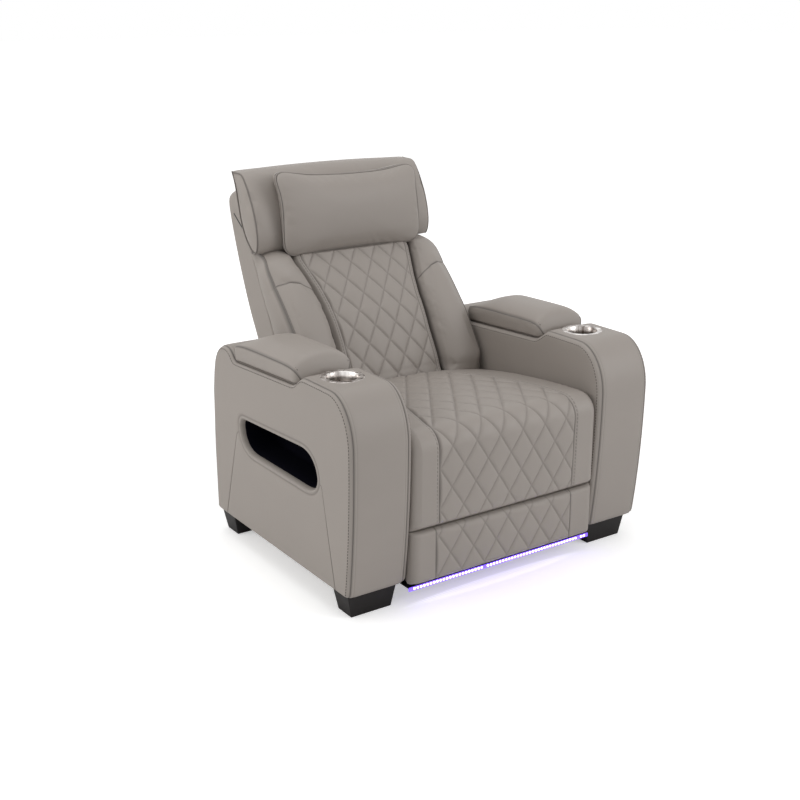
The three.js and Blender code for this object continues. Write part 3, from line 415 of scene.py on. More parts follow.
# %% Leather grain
def make_grain_group():
    group, start, end, where = start_group("leather grain", (
        ("Colour", "Color", (0.3, 0.28, 0.26, 1)),
        ("Grain size", "Float", 700.0),
        ("Tone change", "Float", 0.08),
        ("Seam shade", "Float", 0.55),
    ))
    nodes, links = group.nodes, group.links
    pebble = nodes.new("ShaderNodeTexVoronoi")
    pebble.feature = "SMOOTH_F1"
    pebble.inputs["Smoothness"].default_value = 0.6
    links.new(where, pebble.inputs["Vector"])
    links.new(start["Grain size"], pebble.inputs["Scale"])
    tone = nodes.new("ShaderNodeTexNoise")
    tone.inputs["Scale"].default_value = 7.0
    tone.inputs["Detail"].default_value = 3.0
    links.new(where, tone.inputs["Vector"])
    # Painted shade: a value kept on the points darkens the colour along seams, creases and rounded edges
    seam_shade = nodes.new("ShaderNodeAttribute")
    seam_shade.attribute_name = "seam_shade"
    centred = maths(group, "SUBTRACT", tone.outputs["Fac"], 0.5)
    shade = maths(group, "ADD", maths(group, "MULTIPLY", centred, start["Tone change"]), 1.0)
    dark = maths(group, "MULTIPLY", seam_shade.outputs["Fac"], start["Seam shade"])
    factor = maths(group, "MULTIPLY", shade, maths(group, "SUBTRACT", 1.0, dark))
    scaled = nodes.new("ShaderNodeVectorMath")
    scaled.operation = "SCALE"
    links.new(start["Colour"], scaled.inputs[0])
    links.new(factor, scaled.inputs["Scale"])
    links.new(scaled.outputs[0], end["Colour"])
    rough = maths(group, "ADD", maths(group, "MULTIPLY", tone.outputs["Fac"], 0.1), 0.4)
    pebbled = maths(group, "MULTIPLY", pebble.outputs["Distance"], 0.12)
    links.new(maths(group, "ADD", rough, pebbled), end["Roughness"])
    links.new(pebble.outputs["Distance"], end["Height"])
    return group


grain_group = make_grain_group()


def leather_finish(name, colour, grain=700.0, bump=0.12, seam_shading=0.55):
    values = {"Colour": (*colour, 1), "Grain size": grain, "Seam shade": seam_shading}
    finish, shader = group_finish(name, grain_group, values, bump, 0.0004)
    shader["Specular IOR Level"].default_value = 0.4
    return finish


TAUPE = (0.325, 0.292, 0.266)
leather = leather_finish("taupe leather", TAUPE, seam_shading=0.72)
# The piping is the same leather, painted darker: painted shade along the piping's edges
piping_leather_painted_dark = leather_finish("piping leather, painted shade", tuple(0.55 * c for c in TAUPE), 900.0)
thread = leather_finish("thread", tuple(0.26 * c for c in TAUPE), 2400.0, 0.3)
print("leathers", [material.name for material in (leather, piping_leather_painted_dark, thread)])

# %% [markdown]
# ## Hard finishes
#
# Plastic, painted steel, plywood and webbing have surface detail too: a fine mould texture, brushed
# lines, wood rings and woven ribs. One group makes each relief from a stretched noise, since they
# differ mostly in scale and direction.


# %% Hard finishes
def make_surface_group():
    group, start, end, where = start_group("surface detail", (
        ("Light", "Color", (0.5, 0.5, 0.5, 1)),
        ("Dark", "Color", (0.4, 0.4, 0.4, 1)),
        ("Stretch", "Vector", (1, 1, 1)),
        ("Scale", "Float", 100.0),
        ("Rough", "Float", 0.5),
        ("Contrast", "Float", 1.0),
    ))
    nodes, links = group.nodes, group.links
    stretched = nodes.new("ShaderNodeVectorMath")
    stretched.operation = "MULTIPLY"
    links.new(where, stretched.inputs[0])
    links.new(start["Stretch"], stretched.inputs[1])
    noise = nodes.new("ShaderNodeTexNoise")
    noise.inputs["Detail"].default_value = 4.0
    links.new(stretched.outputs[0], noise.inputs["Vector"])
    links.new(start["Scale"], noise.inputs["Scale"])
    centred = maths(group, "SUBTRACT", noise.outputs["Fac"], 0.5)
    mix = nodes.new("ShaderNodeMix")
    mix.data_type = "RGBA"
    links.new(maths(group, "MULTIPLY_ADD", centred, start["Contrast"], 0.5, clamp=True), mix.inputs["Factor"])
    links.new(start["Dark"], mix.inputs["A"])
    links.new(start["Light"], mix.inputs["B"])
    links.new(mix.outputs["Result"], end["Colour"])
    links.new(maths(group, "MULTIPLY_ADD", noise.outputs["Fac"], 0.15, start["Rough"]), end["Roughness"])
    links.new(noise.outputs["Fac"], end["Height"])
    return group


surface_group = make_surface_group()


def hard_finish(name, light, dark, rough, scale, stretch=(1, 1, 1), metal=0.0, bump=0.1,
                shine=0.5, contrast=1.0):
    values = {"Light": (*light, 1), "Dark": (*dark, 1), "Stretch": stretch, "Scale": scale,
              "Rough": rough, "Contrast": contrast}
    finish, shader = group_finish(name, surface_group, values, bump, 0.0003)
    shader["Metallic"].default_value = metal
    shader["Specular IOR Level"].default_value = shine
    return finish


black_plastic = hard_finish("black plastic", (0.014, 0.014, 0.017), (0.008, 0.008, 0.01), 0.42, 900)
# Black cloth, made darker still and nearly without shine: painted shade of the pocket's deep inside
pocket_lining_shaded = hard_finish("pocket lining, painted shade", (0.0016, 0.0016, 0.005), (0.0008, 0.0008, 0.0025), 0.8, 1200,
                            shine=0.05)
black_steel = hard_finish("black steel", (0.02, 0.02, 0.022), (0.012, 0.012, 0.013), 0.34, 500)
foot_finish = hard_finish("foot black", (0.012, 0.009, 0.009), (0.005, 0.004, 0.004), 0.4, 160,
                          (1, 1, 6), shine=0.36)
brushed = hard_finish("brushed steel", (1.0, 0.98, 0.95), (0.66, 0.61, 0.58), 0.16, 150,
                      (1, 1, 0.02), metal=1.0, bump=0.08)
cup_steel = hard_finish("cup steel", (0.98, 0.95, 0.92), (0.2, 0.165, 0.15), 0.2, 60,
                        (1, 1, 0.015), metal=1.0, bump=0.06, contrast=2.6)
plywood = hard_finish("plywood", (0.5, 0.34, 0.19), (0.33, 0.21, 0.11), 0.55, 30, (0.25, 1, 8))
webbing = hard_finish("webbing", (0.035, 0.035, 0.04), (0.015, 0.015, 0.018), 0.75, 260,
                      (1, 8, 1), bump=0.4)

HARD_PIECES = {
    black_plastic: ("storage_bin_left", "storage_bin_right", "footrest_motor", "recline_motor",
                    "control_box", "power_inlet", "control_panel"),
    black_steel: ("lid_hinge_left", "lid_hinge_right", "side_plate_left", "side_plate_right",
                  "footrest_bar_left", "footrest_bar_right", "back_upright_left", "back_upright_right",
                  "footrest_tube", "recline_tube", "back_cross_bar", "front_cross_rail",
                  "rear_cross_rail", "light_shelf", "headrest_rod", "headrest_bracket"),
    plywood: ("seat_rail_left", "seat_rail_right", "seat_front_rail", "seat_rear_rail", "footrest_board"),
    brushed: ("button_open", "button_close", "button_up", "button_light"),
    webbing: ("seat_deck",),
}
for finish, pieces in HARD_PIECES.items():
    for node in pieces:
        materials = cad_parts[node].data.materials
        materials.clear()
        materials.append(finish)
print("finishes", len(bpy.data.materials))

# %% [markdown]
# ## The arm's outline
#
# Each arm is a box of board with foam and leather over it. Seen from the side it has a tall rounded
# front, a step down under the lid, and a round hump behind. The outline is drawn once as a closed
# line, and the side panels and the band round the arm are all made from it, so that they meet.


# %% Outline of the arm and of its side window
def quad_curve(a, b, c, count=24):
    t = np.linspace(0, 1, count)[:, None]
    return (1 - t) ** 2 * np.array(a) + 2 * t * (1 - t) * np.array(b) + t**2 * np.array(c)


def rounded(line, rounds=2):
    """Softens a closed line by averaging each point with its neighbours."""
    for _ in range(rounds):
        near = np.roll(line, 1, 0) + np.roll(line, -1, 0)
        far = np.roll(line, 2, 0) + np.roll(line, -2, 0)
        line = (3 * line + 2 * near + far) / 9
    return line


ARM_BOTTOM, ARM_TOP = 70.0, 600.0
LEDGE_FRONT, LEDGE_REAR = (-239.7, 569.0), (90.8, 552.6)

front = quad_curve((-488.9, ARM_BOTTOM), (-515, 250.2), (-515, 463.3), 60)
turn = np.radians(np.linspace(180, 90, 30))
nose = np.stack([-415.8 + 99.2 * np.cos(turn), 463.3 + 136.7 * np.sin(turn)], 1)
hump = [(105.7, 569.8), (122.8, 582), (142.2, 585), (169.8, 579.9), (190, 562.9), (205.6, 536.4),
        (215.3, 499.8), (224.3, 443.1), (231, 273), (228.8, ARM_BOTTOM)]
arm_outline = np.vstack([front, nose[1:], [(-283, ARM_TOP)], [LEDGE_FRONT], [LEDGE_REAR], hump])
arm_outline = rounded(resample(arm_outline, 4.0, closed=True), 3)


def outward(line):
    """Unit normals of a closed line in (y, z) that runs clockwise when seen from +X."""
    along = np.roll(line, -1, 0) - np.roll(line, 1, 0)
    along /= np.linalg.norm(along, axis=1)[:, None]
    normal = np.stack([-along[:, 1], along[:, 0]], 1)
    middle = line.mean(0)
    return normal if ((line - middle) * normal).sum() > 0 else -normal


WINDOW_FRONT, WINDOW_REAR, WINDOW_LOW, WINDOW_HIGH = -352.0, 60.9, 308.0, 411.0
f, r, low, high = WINDOW_FRONT, WINDOW_REAR, WINDOW_LOW, WINDOW_HIGH
window = np.vstack([
    [(f, low + 46)],
    quad_curve((f + 6, high - 39), (f + 24, high), (f + 78, high), 16),
    quad_curve((r - 24, high - 15), (r, high - 15), (r, high - 39), 10),
    quad_curve((r - 6, low + 39), (r - 24, low), (r - 78, low), 16),
    quad_curve((f + 68, low), (f + 3, low), (f, low + 45), 16),
])
window = rounded(resample(window, 3.0, closed=True), 2)
print("outline", len(arm_outline), "window", len(window))

# %% [markdown]
# ## Side panels of the arms
#
# The outer side is one padded panel with a slot for magazines and two sewn seams that run down from
# the slot. A panel with a hole is awkward as a plain grid, so its rows run from the outline to the
# slot, like the rings of a target. Its columns are placed so that two of them are the seams, and they
# lie closer together there, where the leather is drawn in.


# %% Rings between two closed lines
def arc_share(line, point):
    """How far round a closed line its nearest point to this one lies, from 0 to 1."""
    reach = reach_along(closed_line(line))
    k = int(np.argmin(((line - np.array(point)) ** 2).sum(1)))
    return reach[k] / reach[-1]


def at_share(line, shares):
    """Points of a closed line at these shares of its length."""
    line = closed_line(line)
    reach = reach_along(line)
    return at_reach(np.asarray(shares) % 1.0, reach / reach[-1], line)


def matched_shares(outer, inner, pairs, step=5.0):
    """Shares along two closed lines, so that each pair of points is joined by one column."""
    marks = sorted((arc_share(outer, a), arc_share(inner, b)) for a, b in pairs)
    length = reach_along(closed_line(outer))[-1]
    outer_shares, inner_shares = [], []
    for k, (a, b) in enumerate(marks):
        a2, b2 = marks[(k + 1) % len(marks)]
        a2, b2 = (a2 + 1 if a2 <= a else a2), (b2 + 1 if b2 <= b else b2)
        count = max(int((a2 - a) * length / step), 4)
        t = np.linspace(0, 1, count, endpoint=False)
        outer_shares += list(a + (a2 - a) * t)
        inner_shares += list(b + (b2 - b) * t)
    return np.array(outer_shares), np.array(inner_shares)


# The two seams run from the slot's ends to the bottom of the panel
seam_ends = [((-431, ARM_BOTTOM), (WINDOW_FRONT, 345)), ((167, ARM_BOTTOM), (WINDOW_REAR - 3, 356))]
corner_ends = [((-415.8, ARM_TOP), (-270, WINDOW_HIGH)), ((110, 575), (0, 399)),
               ((-496, 110), (-350, 363)), ((224, 443), (44, 395))]
outer_shares, inner_shares = matched_shares(arm_outline, window, seam_ends + corner_ends)

# Extra columns close to the two seams, in place of the even ones there
near = np.array([-9, -6, -4, -2.6, -1.5, -0.7, 0, 0.7, 1.5, 2.6, 4, 6, 9])
NEAR_REACH = 11
outer_length = reach_along(closed_line(arm_outline))[-1]
order = np.argsort(outer_shares % 1)
known_outer = (outer_shares % 1)[order]
known_inner = np.unwrap(inner_shares[order], period=1)
columns_outer = list(known_outer)
seam_shares = [arc_share(arm_outline, a) for a, _ in seam_ends]
for share in seam_shares:
    columns_outer = [c for c in columns_outer if abs(c - share) * outer_length > NEAR_REACH]
    columns_outer += list(share + near / outer_length)
columns_outer = np.sort(np.array(columns_outer))
columns_inner = np.interp(columns_outer, np.r_[known_outer, known_outer[0] + 1],
                          np.r_[known_inner, known_inner[0] + 1])
seam_gap = np.min([np.abs(columns_outer - share) for share in seam_shares], axis=0) * outer_length
print("panel columns", len(columns_outer))

# %% Outer side panels
ARM_OUTER, ARM_INNER = 495.0, 310.0
OUTER_SEAM, INNER_SEAM = 482.6, 326.4
OUTER_ROUND, INNER_ROUND = 10.0, 14.0
# The panels start this far in from the outline, and their outermost rings, at the seam and the rounded edge,
# get painted shade
EDGE_IN = 0.3
EDGE_SHADE = (1, 1, 0.9, 0.45, 0.1)
GROOVE_DEPTH, GROOVE_WIDTH, BESIDE_GROOVE = 1.9, 1.3, 9
SEAMS_BELOW = 380
# The soft lip that rolls into the slot: how far out from its line, and how deep below the panel
LIP = ((24, 0.4), (20, 0.9), (17.5, 1.7), (15.5, 2.2), (13.5, 1.9), (11.5, 1.0), (9.5, 0.2), (7.6, 0),
       (5.9, 0.6), (4.4, 2.0), (3.0, 4.4), (1.8, 7.6), (0.9, 11.4), (0.4, 15.5), (0.2, 21))
LIP_START, FLAT_ROWS = 27, 34


def outer_panel(side):
    rim, hole = at_share(arm_outline, columns_outer), at_share(window, columns_inner)
    rim_out, hole_out = outward(rim), outward(hole)
    # Rounded edge: in from the band's seam, and over to the flat of the side
    rows = [(rim - rim_out * d, OUTER_SEAM + x) for d, x in ((6.0, 0.2), (3.0, 0.3), (1.3, 0.9))]
    for angle in np.radians(np.linspace(12, 90, 8)):
        d = EDGE_IN + (OUTER_ROUND - EDGE_IN) * (1 - math.cos(angle))
        rows.append((rim - rim_out * d, ARM_OUTER - OUTER_ROUND + OUTER_ROUND * math.sin(angle) - 0.4))
    edge_line, lip_line = rows[-1][0], hole + hole_out * LIP_START
    for t in np.arange(1, FLAT_ROWS) / FLAT_ROWS:
        rows.append((edge_line * (1 - t) + lip_line * t, ARM_OUTER - 0.4 + 0.4 * math.sin(math.pi * t)))
    rows += [(hole + hole_out * out, ARM_OUTER - depth) for out, depth in LIP]
    lines = np.stack([line for line, _ in rows])
    depths = np.array([x for _, x in rows])[:, None]
    # The seams are grooves between the edge and the slot, and they show only below the slot
    flat = np.ones(len(rows))
    flat[:6] = 0
    flat[-len(LIP):] = np.r_[np.linspace(1, 0, 5), np.zeros(len(LIP) - 5)]
    lower = lines[..., 1] < SEAMS_BELOW
    groove = bell(seam_gap, GROOVE_WIDTH)[None, :] * flat[:, None]
    puffed = (1 - bell(seam_gap, BESIDE_GROOVE))[None, :] * flat[:, None]
    depths = depths - GROOVE_DEPTH * groove * lower + 0.3 * puffed - 0.3
    points = np.stack([side * depths, lines[..., 0], lines[..., 1]], -1)
    faces = grid_faces(len(rows), len(rim), closed=True, flip=side < 0)
    # Painted shade: on the rings at the rounded edge, on the fold of the lip into the slot, and along the
    # seam grooves below the slot
    shade = np.zeros(len(rows))
    shade[:len(EDGE_SHADE)] = EDGE_SHADE
    shade[-13:-9] = (0.15, 0.4, 0.4, 0.15)
    seam_shade = np.maximum(bell(seam_gap, 1.5)[None, :] * flat[:, None] * lower, shade[:, None])
    name = SIDE_NAMES[side]
    piece = new_piece("arm_side_outer_" + name, points.reshape(-1, 3), faces, "base", leather, seam_shade.ravel())
    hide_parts("arm_outer_panel_" + name)
    print(piece.name, len(piece.data.vertices), "points")


for side in SIDES:
    outer_panel(side)


# %% Inner side panels
PANEL_MIDDLE = np.array([-140.0, 330.0])


def inner_panel(side):
    rim = resample(arm_outline, 6.0, closed=True)
    normals = outward(rim)
    rows = [(6.0, INNER_SEAM - 0.2), (3.0, INNER_SEAM - 0.3), (1.3, INNER_SEAM - 0.9)]
    for angle in np.radians(np.linspace(8, 90, 9)):
        rows.append((EDGE_IN + (INNER_ROUND - EDGE_IN) * (1 - math.cos(angle)),
                     ARM_INNER + INNER_ROUND - INNER_ROUND * math.sin(angle) + 0.3))
    lines = [rim - normals * d for d, _ in rows]
    depths = [x for _, x in rows]
    edge_line = lines[-1]
    for t in np.linspace(0.06, 0.985, 24):
        lines.append(edge_line * (1 - t) + PANEL_MIDDLE * t)
        depths.append(ARM_INNER + 0.3 * (1 - t))
    lines, depths = np.stack(lines), np.array(depths)[:, None] * np.ones(len(rim))
    points = np.stack([side * depths, lines[..., 0], lines[..., 1]], -1).reshape(-1, 3)
    faces = grid_faces(len(lines), len(rim), closed=True, flip=side > 0)
    # Triangles close the small ring that is left in the middle
    last = len(points)
    points = np.vstack([points, [(side * ARM_INNER, *PANEL_MIDDLE)]])
    start = (len(lines) - 1) * len(rim)
    for i in range(len(rim)):
        triangle = (start + i, start + (i + 1) % len(rim), last)
        faces.append(triangle[::-1] if side > 0 else triangle)
    # Painted shade on the rings at the seam and the rounded edge
    seam_shade = np.zeros(len(points))
    seam_shade[:len(EDGE_SHADE) * len(rim)] = np.repeat(EDGE_SHADE, len(rim))
    name = SIDE_NAMES[side]
    piece = new_piece("arm_side_inner_" + name, points, faces, "base", leather, seam_shade)
    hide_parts("arm_inner_panel_" + name)
    print(piece.name, len(points), "points")


for side in SIDES:
    inner_panel(side)

# %% [markdown]
# ## The band round each arm
#
# One long strip of leather covers the front, the top, the ledge under the lid, and the back of the
# arm. It has a round hole for the cup holder and a long one for the bin. It is a grid that follows the
# outline, with the faces over the holes left out, and then given a thickness.

# %% Arm bands
CUP_Y, CUP_X = -335.0, 402.5
CUP_HOLE, CUP_CUT = 47, 43.5
BIN_HALF, BIN_FRONT, BIN_REAR = 54.6, -217.0, 59.8
BAND_IN, BAND_OUT = INNER_SEAM + 0.4, OUTER_SEAM - 0.6
STITCH_IN = 7.3
BAND_THICKNESS = 0.003
# How far the band drops at its sewn edge, in the soft fall beside it, and under the row of stitches
EDGE_DROP, FALL_DROP, STITCH_DROP = 2.6, 0.9, 0.5


def arm_band(side):
    line = resample(arm_outline, 5.0, closed=True)
    normals = outward(line)
    near_edge = np.array([0, 0.5, 1.4, 3, 5, 6, 6.9, 7.8, 8.8, 10])
    between = np.linspace(BAND_IN + 14, BAND_OUT - 14, 28)
    across = np.r_[BAND_IN + near_edge, between, (BAND_OUT - near_edge)[::-1]]
    # One column and one row go exactly along each side of the bin's hole
    for place in (CUP_X - BIN_HALF, CUP_X + BIN_HALF):
        across[np.argmin(abs(across - place))] = place
    on_ledge = (line[:, 1] > 540) & (line[:, 1] < 580)
    for place in (BIN_FRONT, BIN_REAR):
        line[int(np.argmin(np.where(on_ledge, abs(line[:, 0] - place), 1e9))), 0] = place
    from_edge = np.minimum(across - BAND_IN, BAND_OUT - across)
    drop = EDGE_DROP * bell(from_edge, 1.3) + FALL_DROP * bell(from_edge, 9.0)
    drop = drop + STITCH_DROP * bell(from_edge - STITCH_IN, 1.5)
    shape = line[:, None, :] - normals[:, None, :] * drop[None, :, None]
    x = np.broadcast_to(side * across, shape.shape[:2])
    points = np.stack([x, shape[..., 0], shape[..., 1]], -1).copy()
    rows, columns = points.shape[:2]
    # Points near the cup's hole are drawn to its circle
    top = points[..., 2] > ARM_TOP - 5
    away = np.stack([points[..., 0] - side * CUP_X, points[..., 1] - CUP_Y], -1)
    far = np.linalg.norm(away, axis=-1)
    pull = top & (far < 50) & (far > CUP_CUT)
    points[pull, :2] = (away / far[..., None])[pull] * CUP_HOLE + np.array([side * CUP_X, CUP_Y])
    in_cup = (top & (far <= CUP_CUT)).ravel()
    points = points.reshape(-1, 3)
    faces = []
    for face in grid_faces(rows + 1, columns):
        face = tuple(k % (rows * columns) for k in face)
        middle = points[list(face)].mean(0)
        beside_bin = abs(abs(middle[0]) - CUP_X) >= BIN_HALF or middle[2] <= 500
        in_bin = BIN_FRONT < middle[1] < BIN_REAR and not beside_bin
        if not in_bin and not in_cup[list(face)].any():
            faces.append(face[::-1] if side > 0 else face)
    # Painted shade along the sewn edges, and fainter painted shade along each row of stitches
    sewn = bell(from_edge, 1.2) + 0.35 * bell(from_edge - STITCH_IN, 0.9)
    seam_shade = np.broadcast_to(sewn, (rows, columns)).ravel()
    name = SIDE_NAMES[side]
    piece = new_piece("arm_band_" + name, points, faces, "base", leather, seam_shade)
    drop_loose_points(piece)
    solid = piece.modifiers.new("thickness", "SOLIDIFY")
    solid.thickness, solid.offset = BAND_THICKNESS, -1.0
    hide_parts("arm_top_band_" + name)
    print(piece.name, len(piece.data.vertices), "points")


for side in SIDES:
    arm_band(side)

# %% [markdown]
# ## Diamond quilting
#
# The seat and the back are quilted: leather over foam, sewn through along crossed lines, so that each
# diamond stands up a little between two dark valleys. The lines are worked out for each point of a
# fine grid. On the seat its steps divide a diamond evenly, so that the sewn lines fall on grid points.


# %% Quilting
def diamonds(u, v, width, height):
    """Distance in mm to the nearest sewn line, and how far up the puff each point is, 0 to 1."""
    a, b = u / width + v / height, u / width - v / height
    near_a, near_b = abs(a - np.round(a)), abs(b - np.round(b))
    pitch = width * height / math.hypot(width, height)
    distance = np.minimum(near_a, near_b) * pitch
    puff = np.sqrt(abs(np.sin(math.pi * a) * np.sin(math.pi * b)))
    return distance, puff


SEWN_DEPTH, SEWN_WIDTH = 1.8, 3.2
SEWN_SHADE, SHADE_WIDTH = 0.34, 1.9


def quilt(u, v, width, height, quilted, rise=4.2):
    """Relief in mm and painted shade along the sewn lines of a quilted field. quilted is 1 inside it, and 0
    outside.
    """
    distance, puff = diamonds(u, v, width, height)
    relief = (rise * puff - SEWN_DEPTH * bell(distance, SEWN_WIDTH)) * quilted
    return relief, SEWN_SHADE * bell(distance, SHADE_WIDTH) * quilted


relief_range = quilt(np.arange(0, 76, 0.5)[None, :], np.arange(0, 112, 0.5)[:, None], 76, 112, 1.0)[0]
print("quilting from", round(float(relief_range.min()), 1), "to", round(float(relief_range.max()), 1), "mm")

# %% [markdown]
# ## Seat cushion
#
# The seat is one quilted cover that runs from under the back, over a rounded nose, and down the front
# of the footrest, as one sheet. It is swept along the side view's line: at each step a flat closed
# section is placed square to the line, crowned in the middle and rounded at its sides.

# %% The line the seat follows
NOSE_Y, NOSE_Z, NOSE_R = -463.0, 421.0, 52.0
FRONT_Y, FRONT_BOTTOM, SEAT_HALF = -515.0, 212.0, 307.0
QUILT_W, QUILT_H = 76.0, 112.0
QUILT_STEPS = 32
BACK_PIVOT = (110.0, 380.0)

top_line = np.array([(13, 415), (-60, 429), (-124, 441), (-190, 450.5), (-255, 458), (-320, 464.5),
                     (-363, 468), (-410, 471.2), (NOSE_Y, NOSE_Z + NOSE_R)])
turn = np.radians(np.linspace(90, 180, 20))
nose_line = np.stack([NOSE_Y + NOSE_R * np.cos(turn), NOSE_Z + NOSE_R * np.sin(turn)], 1)
seat_path = np.vstack([top_line, nose_line[1:], [(FRONT_Y, FRONT_BOTTOM)]])
seat_line = resample(seat_path, QUILT_H / QUILT_STEPS)
seat_reach = reach_along(seat_line)
seat_length = seat_reach[-1]


def unit(rows):
    return rows / np.linalg.norm(rows, axis=1)[:, None]


# The direction of the line, evened out so that the sections turn smoothly over the nose
seat_ahead = unit(np.gradient(seat_line, axis=0))
for _ in range(6):
    after, before = np.vstack([seat_ahead[1:], seat_ahead[-1:]]), np.vstack([seat_ahead[:1], seat_ahead[:-1]])
    seat_ahead = unit(seat_ahead + after + before)
seat_up = np.stack([seat_ahead[:, 1], -seat_ahead[:, 0]], 1)
print("seat line", round(seat_length), "mm,", len(seat_line), "rows")


# %% Seat cushion mesh
def section(half, thick, top_columns, round_top, round_bottom):
    """One closed section of a cushion: how far across, and how far down. The top's columns come first."""
    inner = half - round_top
    turn = np.radians(np.linspace(0, 90, 7))[1:]
    side_x = inner + round_top * np.sin(turn)
    side_d = round_top * (1 - np.cos(turn))
    low_x = half - round_bottom + round_bottom * np.cos(turn)
    low_d = thick - round_bottom + round_bottom * np.sin(turn)
    wall = np.linspace(round_top, thick - round_bottom, 6)[1:]
    wall_x = half + 1.5 * np.sin(math.pi * (wall - round_top) / max(thick - round_top - round_bottom, 1))
    right = np.r_[side_x, wall_x, low_x], np.r_[side_d, wall, low_d]
    under = np.linspace(half - round_bottom, -(half - round_bottom), 24)[1:-1]
    x = np.r_[top_columns, right[0], under, -right[0][::-1]]
    d = np.r_[0 * top_columns, right[1], np.full(len(under), thick), right[1][::-1]]
    return x, d


FLAT_HALF, THICK = 286, 46.0
# A line of diamonds' corners lies at this height on the front
QUILT_CORNER_Z = 372
CROWN_REACH = [0, 90, 300, 480, 560, 640, seat_length]
CROWN_HEIGHT = [27, 25, 18, 10, 7, 5, 3]
BORDER_DEPTH, BORDER_WIDTH = 2.6, 1.7
STITCH_OUT, STITCH_WIDTH, STITCH_DEPTH = 8, 1.2, 0.5
PLAIN_RISE, PLAIN_REACH = 2.2, 14
# Border seams as the photograph shows them: they close in towards the back
BORDER_REACH = [0, 90, 200, 300, 390, 480, 540, seat_length]
LEFT_BORDER = [60, 105, 140, 180, 208, 232, 230, 228]
RIGHT_BORDER = [88, 138, 178, 200, 213, 221, 223, 221]

column_step = QUILT_W / QUILT_STEPS
side_columns = int(FLAT_HALF / column_step)
columns = np.arange(-side_columns, side_columns + 1) * column_step
around, depth = section(SEAT_HALF, THICK, columns, SEAT_HALF - columns[-1], 10.0)
on_top = depth[None, :] < 1e-6
across_grid, v_grid = np.meshgrid(around, seat_reach - (seat_length - (QUILT_CORNER_Z - FRONT_BOTTOM)))
crown = np.interp(seat_reach, CROWN_REACH, CROWN_HEIGHT)
crown_grid = crown[:, None] * (1 - np.clip(abs(across_grid) / SEAT_HALF, 0, 1) ** 2.2)

left_border = np.interp(seat_reach, BORDER_REACH, LEFT_BORDER)
right_border = np.interp(seat_reach, BORDER_REACH, RIGHT_BORDER)
to_border = np.where(across_grid < 0, left_border[:, None], right_border[:, None]) - abs(across_grid)
quilted = ease(to_border, 0, 6) * on_top
relief, quilt_shade = quilt(across_grid, v_grid, QUILT_W, QUILT_H, quilted)
border_line = bell(to_border, BORDER_WIDTH) * on_top
stitch_line = bell(to_border + STITCH_OUT, STITCH_WIDTH) * on_top
relief = relief - BORDER_DEPTH * border_line - STITCH_DEPTH * stitch_line
relief = relief + PLAIN_RISE * (1 - quilted) * on_top * ease(-to_border, 0, PLAIN_REACH)

# The section is squeezed about its middle depth at both ends, so that the cushion closes roundly
FRONT_SQUEEZE, REAR_SQUEEZE = 16, 14
from_front = seat_length - seat_reach
squeeze = (1 - ease(from_front, 0, 14)) * FRONT_SQUEEZE + (1 - ease(seat_reach, 0, 16)) * REAR_SQUEEZE
lift = crown_grid * (1 - depth[None, :] / THICK) + relief * ease(from_front, 2, 30)[:, None]
offset = lift - depth[None, :] + (depth[None, :] - THICK / 2) / (THICK / 2) * squeeze[:, None]
points = np.stack([
    across_grid,
    seat_line[:, None, 0] + seat_up[:, None, 0] * offset,
    seat_line[:, None, 1] + seat_up[:, None, 1] * offset,
], -1)


def clear_of_back(points, radius=119.0):
    """Keeps a cushion's rear clear of the round foot of the back, which turns about the recline tube."""
    y, z = points[..., 1] - BACK_PIVOT[0], points[..., 2] - BACK_PIVOT[1]
    reach = np.maximum(np.hypot(y, z), 1.0)
    push = np.where((reach < radius) & (y < 0), radius / reach, 1.0)
    points[..., 1] = BACK_PIVOT[0] + y * push
    points[..., 2] = BACK_PIVOT[1] + z * push
    return points


points = clear_of_back(points)
rows, count = points.shape[:2]
dashes = np.where(np.arange(rows) % 3 == 0, 0.0, 1.0)[:, None]
# Painted shade in the quilting's lines and along the border seam, and darker dashes for the stitches
seam_shade = np.maximum.reduce([quilt_shade, 0.9 * border_line, 0.75 * stitch_line * dashes])
faces = closed_faces(rows, count, turned=True)
seat = new_solid("seat_cushion_cover", points.reshape(-1, 3), faces, None, leather, seam_shade.ravel())
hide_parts("seat_cushion", "footrest_upper_pad")
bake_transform(seat)
print("seat points", rows * count)

# %% [markdown]
# ## Foam under the seat
#
# The cushion above is as thick as its cover. A plain block of foam
# under it fills the seat down to the deck. It rides on the base, and it ends before the nose.

# %% Foam under the seat cover
FOAM_BOTTOM, FOAM_UNDER_COVER = 346.0, 48
foam_y = np.linspace(2, -405, 30)
foam_top = np.interp(-foam_y, -seat_line[:, 0], seat_line[:, 1]) - FOAM_UNDER_COVER
foam_x, foam_d = section(298.0, 1.0, np.linspace(-280, 280, 30), 0.4, 0.4)
rings = [np.stack([foam_x, np.full(len(foam_x), y), np.where(foam_d < 0.5, z, FOAM_BOTTOM)], -1)
         for y, z in zip(foam_y, foam_top)]
foam_points = clear_of_back(np.concatenate(rings), 120.0)
faces = closed_faces(len(foam_y), len(foam_x), turned=True)
foam = new_solid("seat_foam", foam_points, faces, "base", leather)
print("foam points", len(foam_points))

# %% [markdown]
# ## Lower footrest pad
#
# Under the seat's front panel hangs a short pad, quilted in the same pattern. It rides on the
# footrest. It is made like the seat: one section is carried down a line, here a straight one.

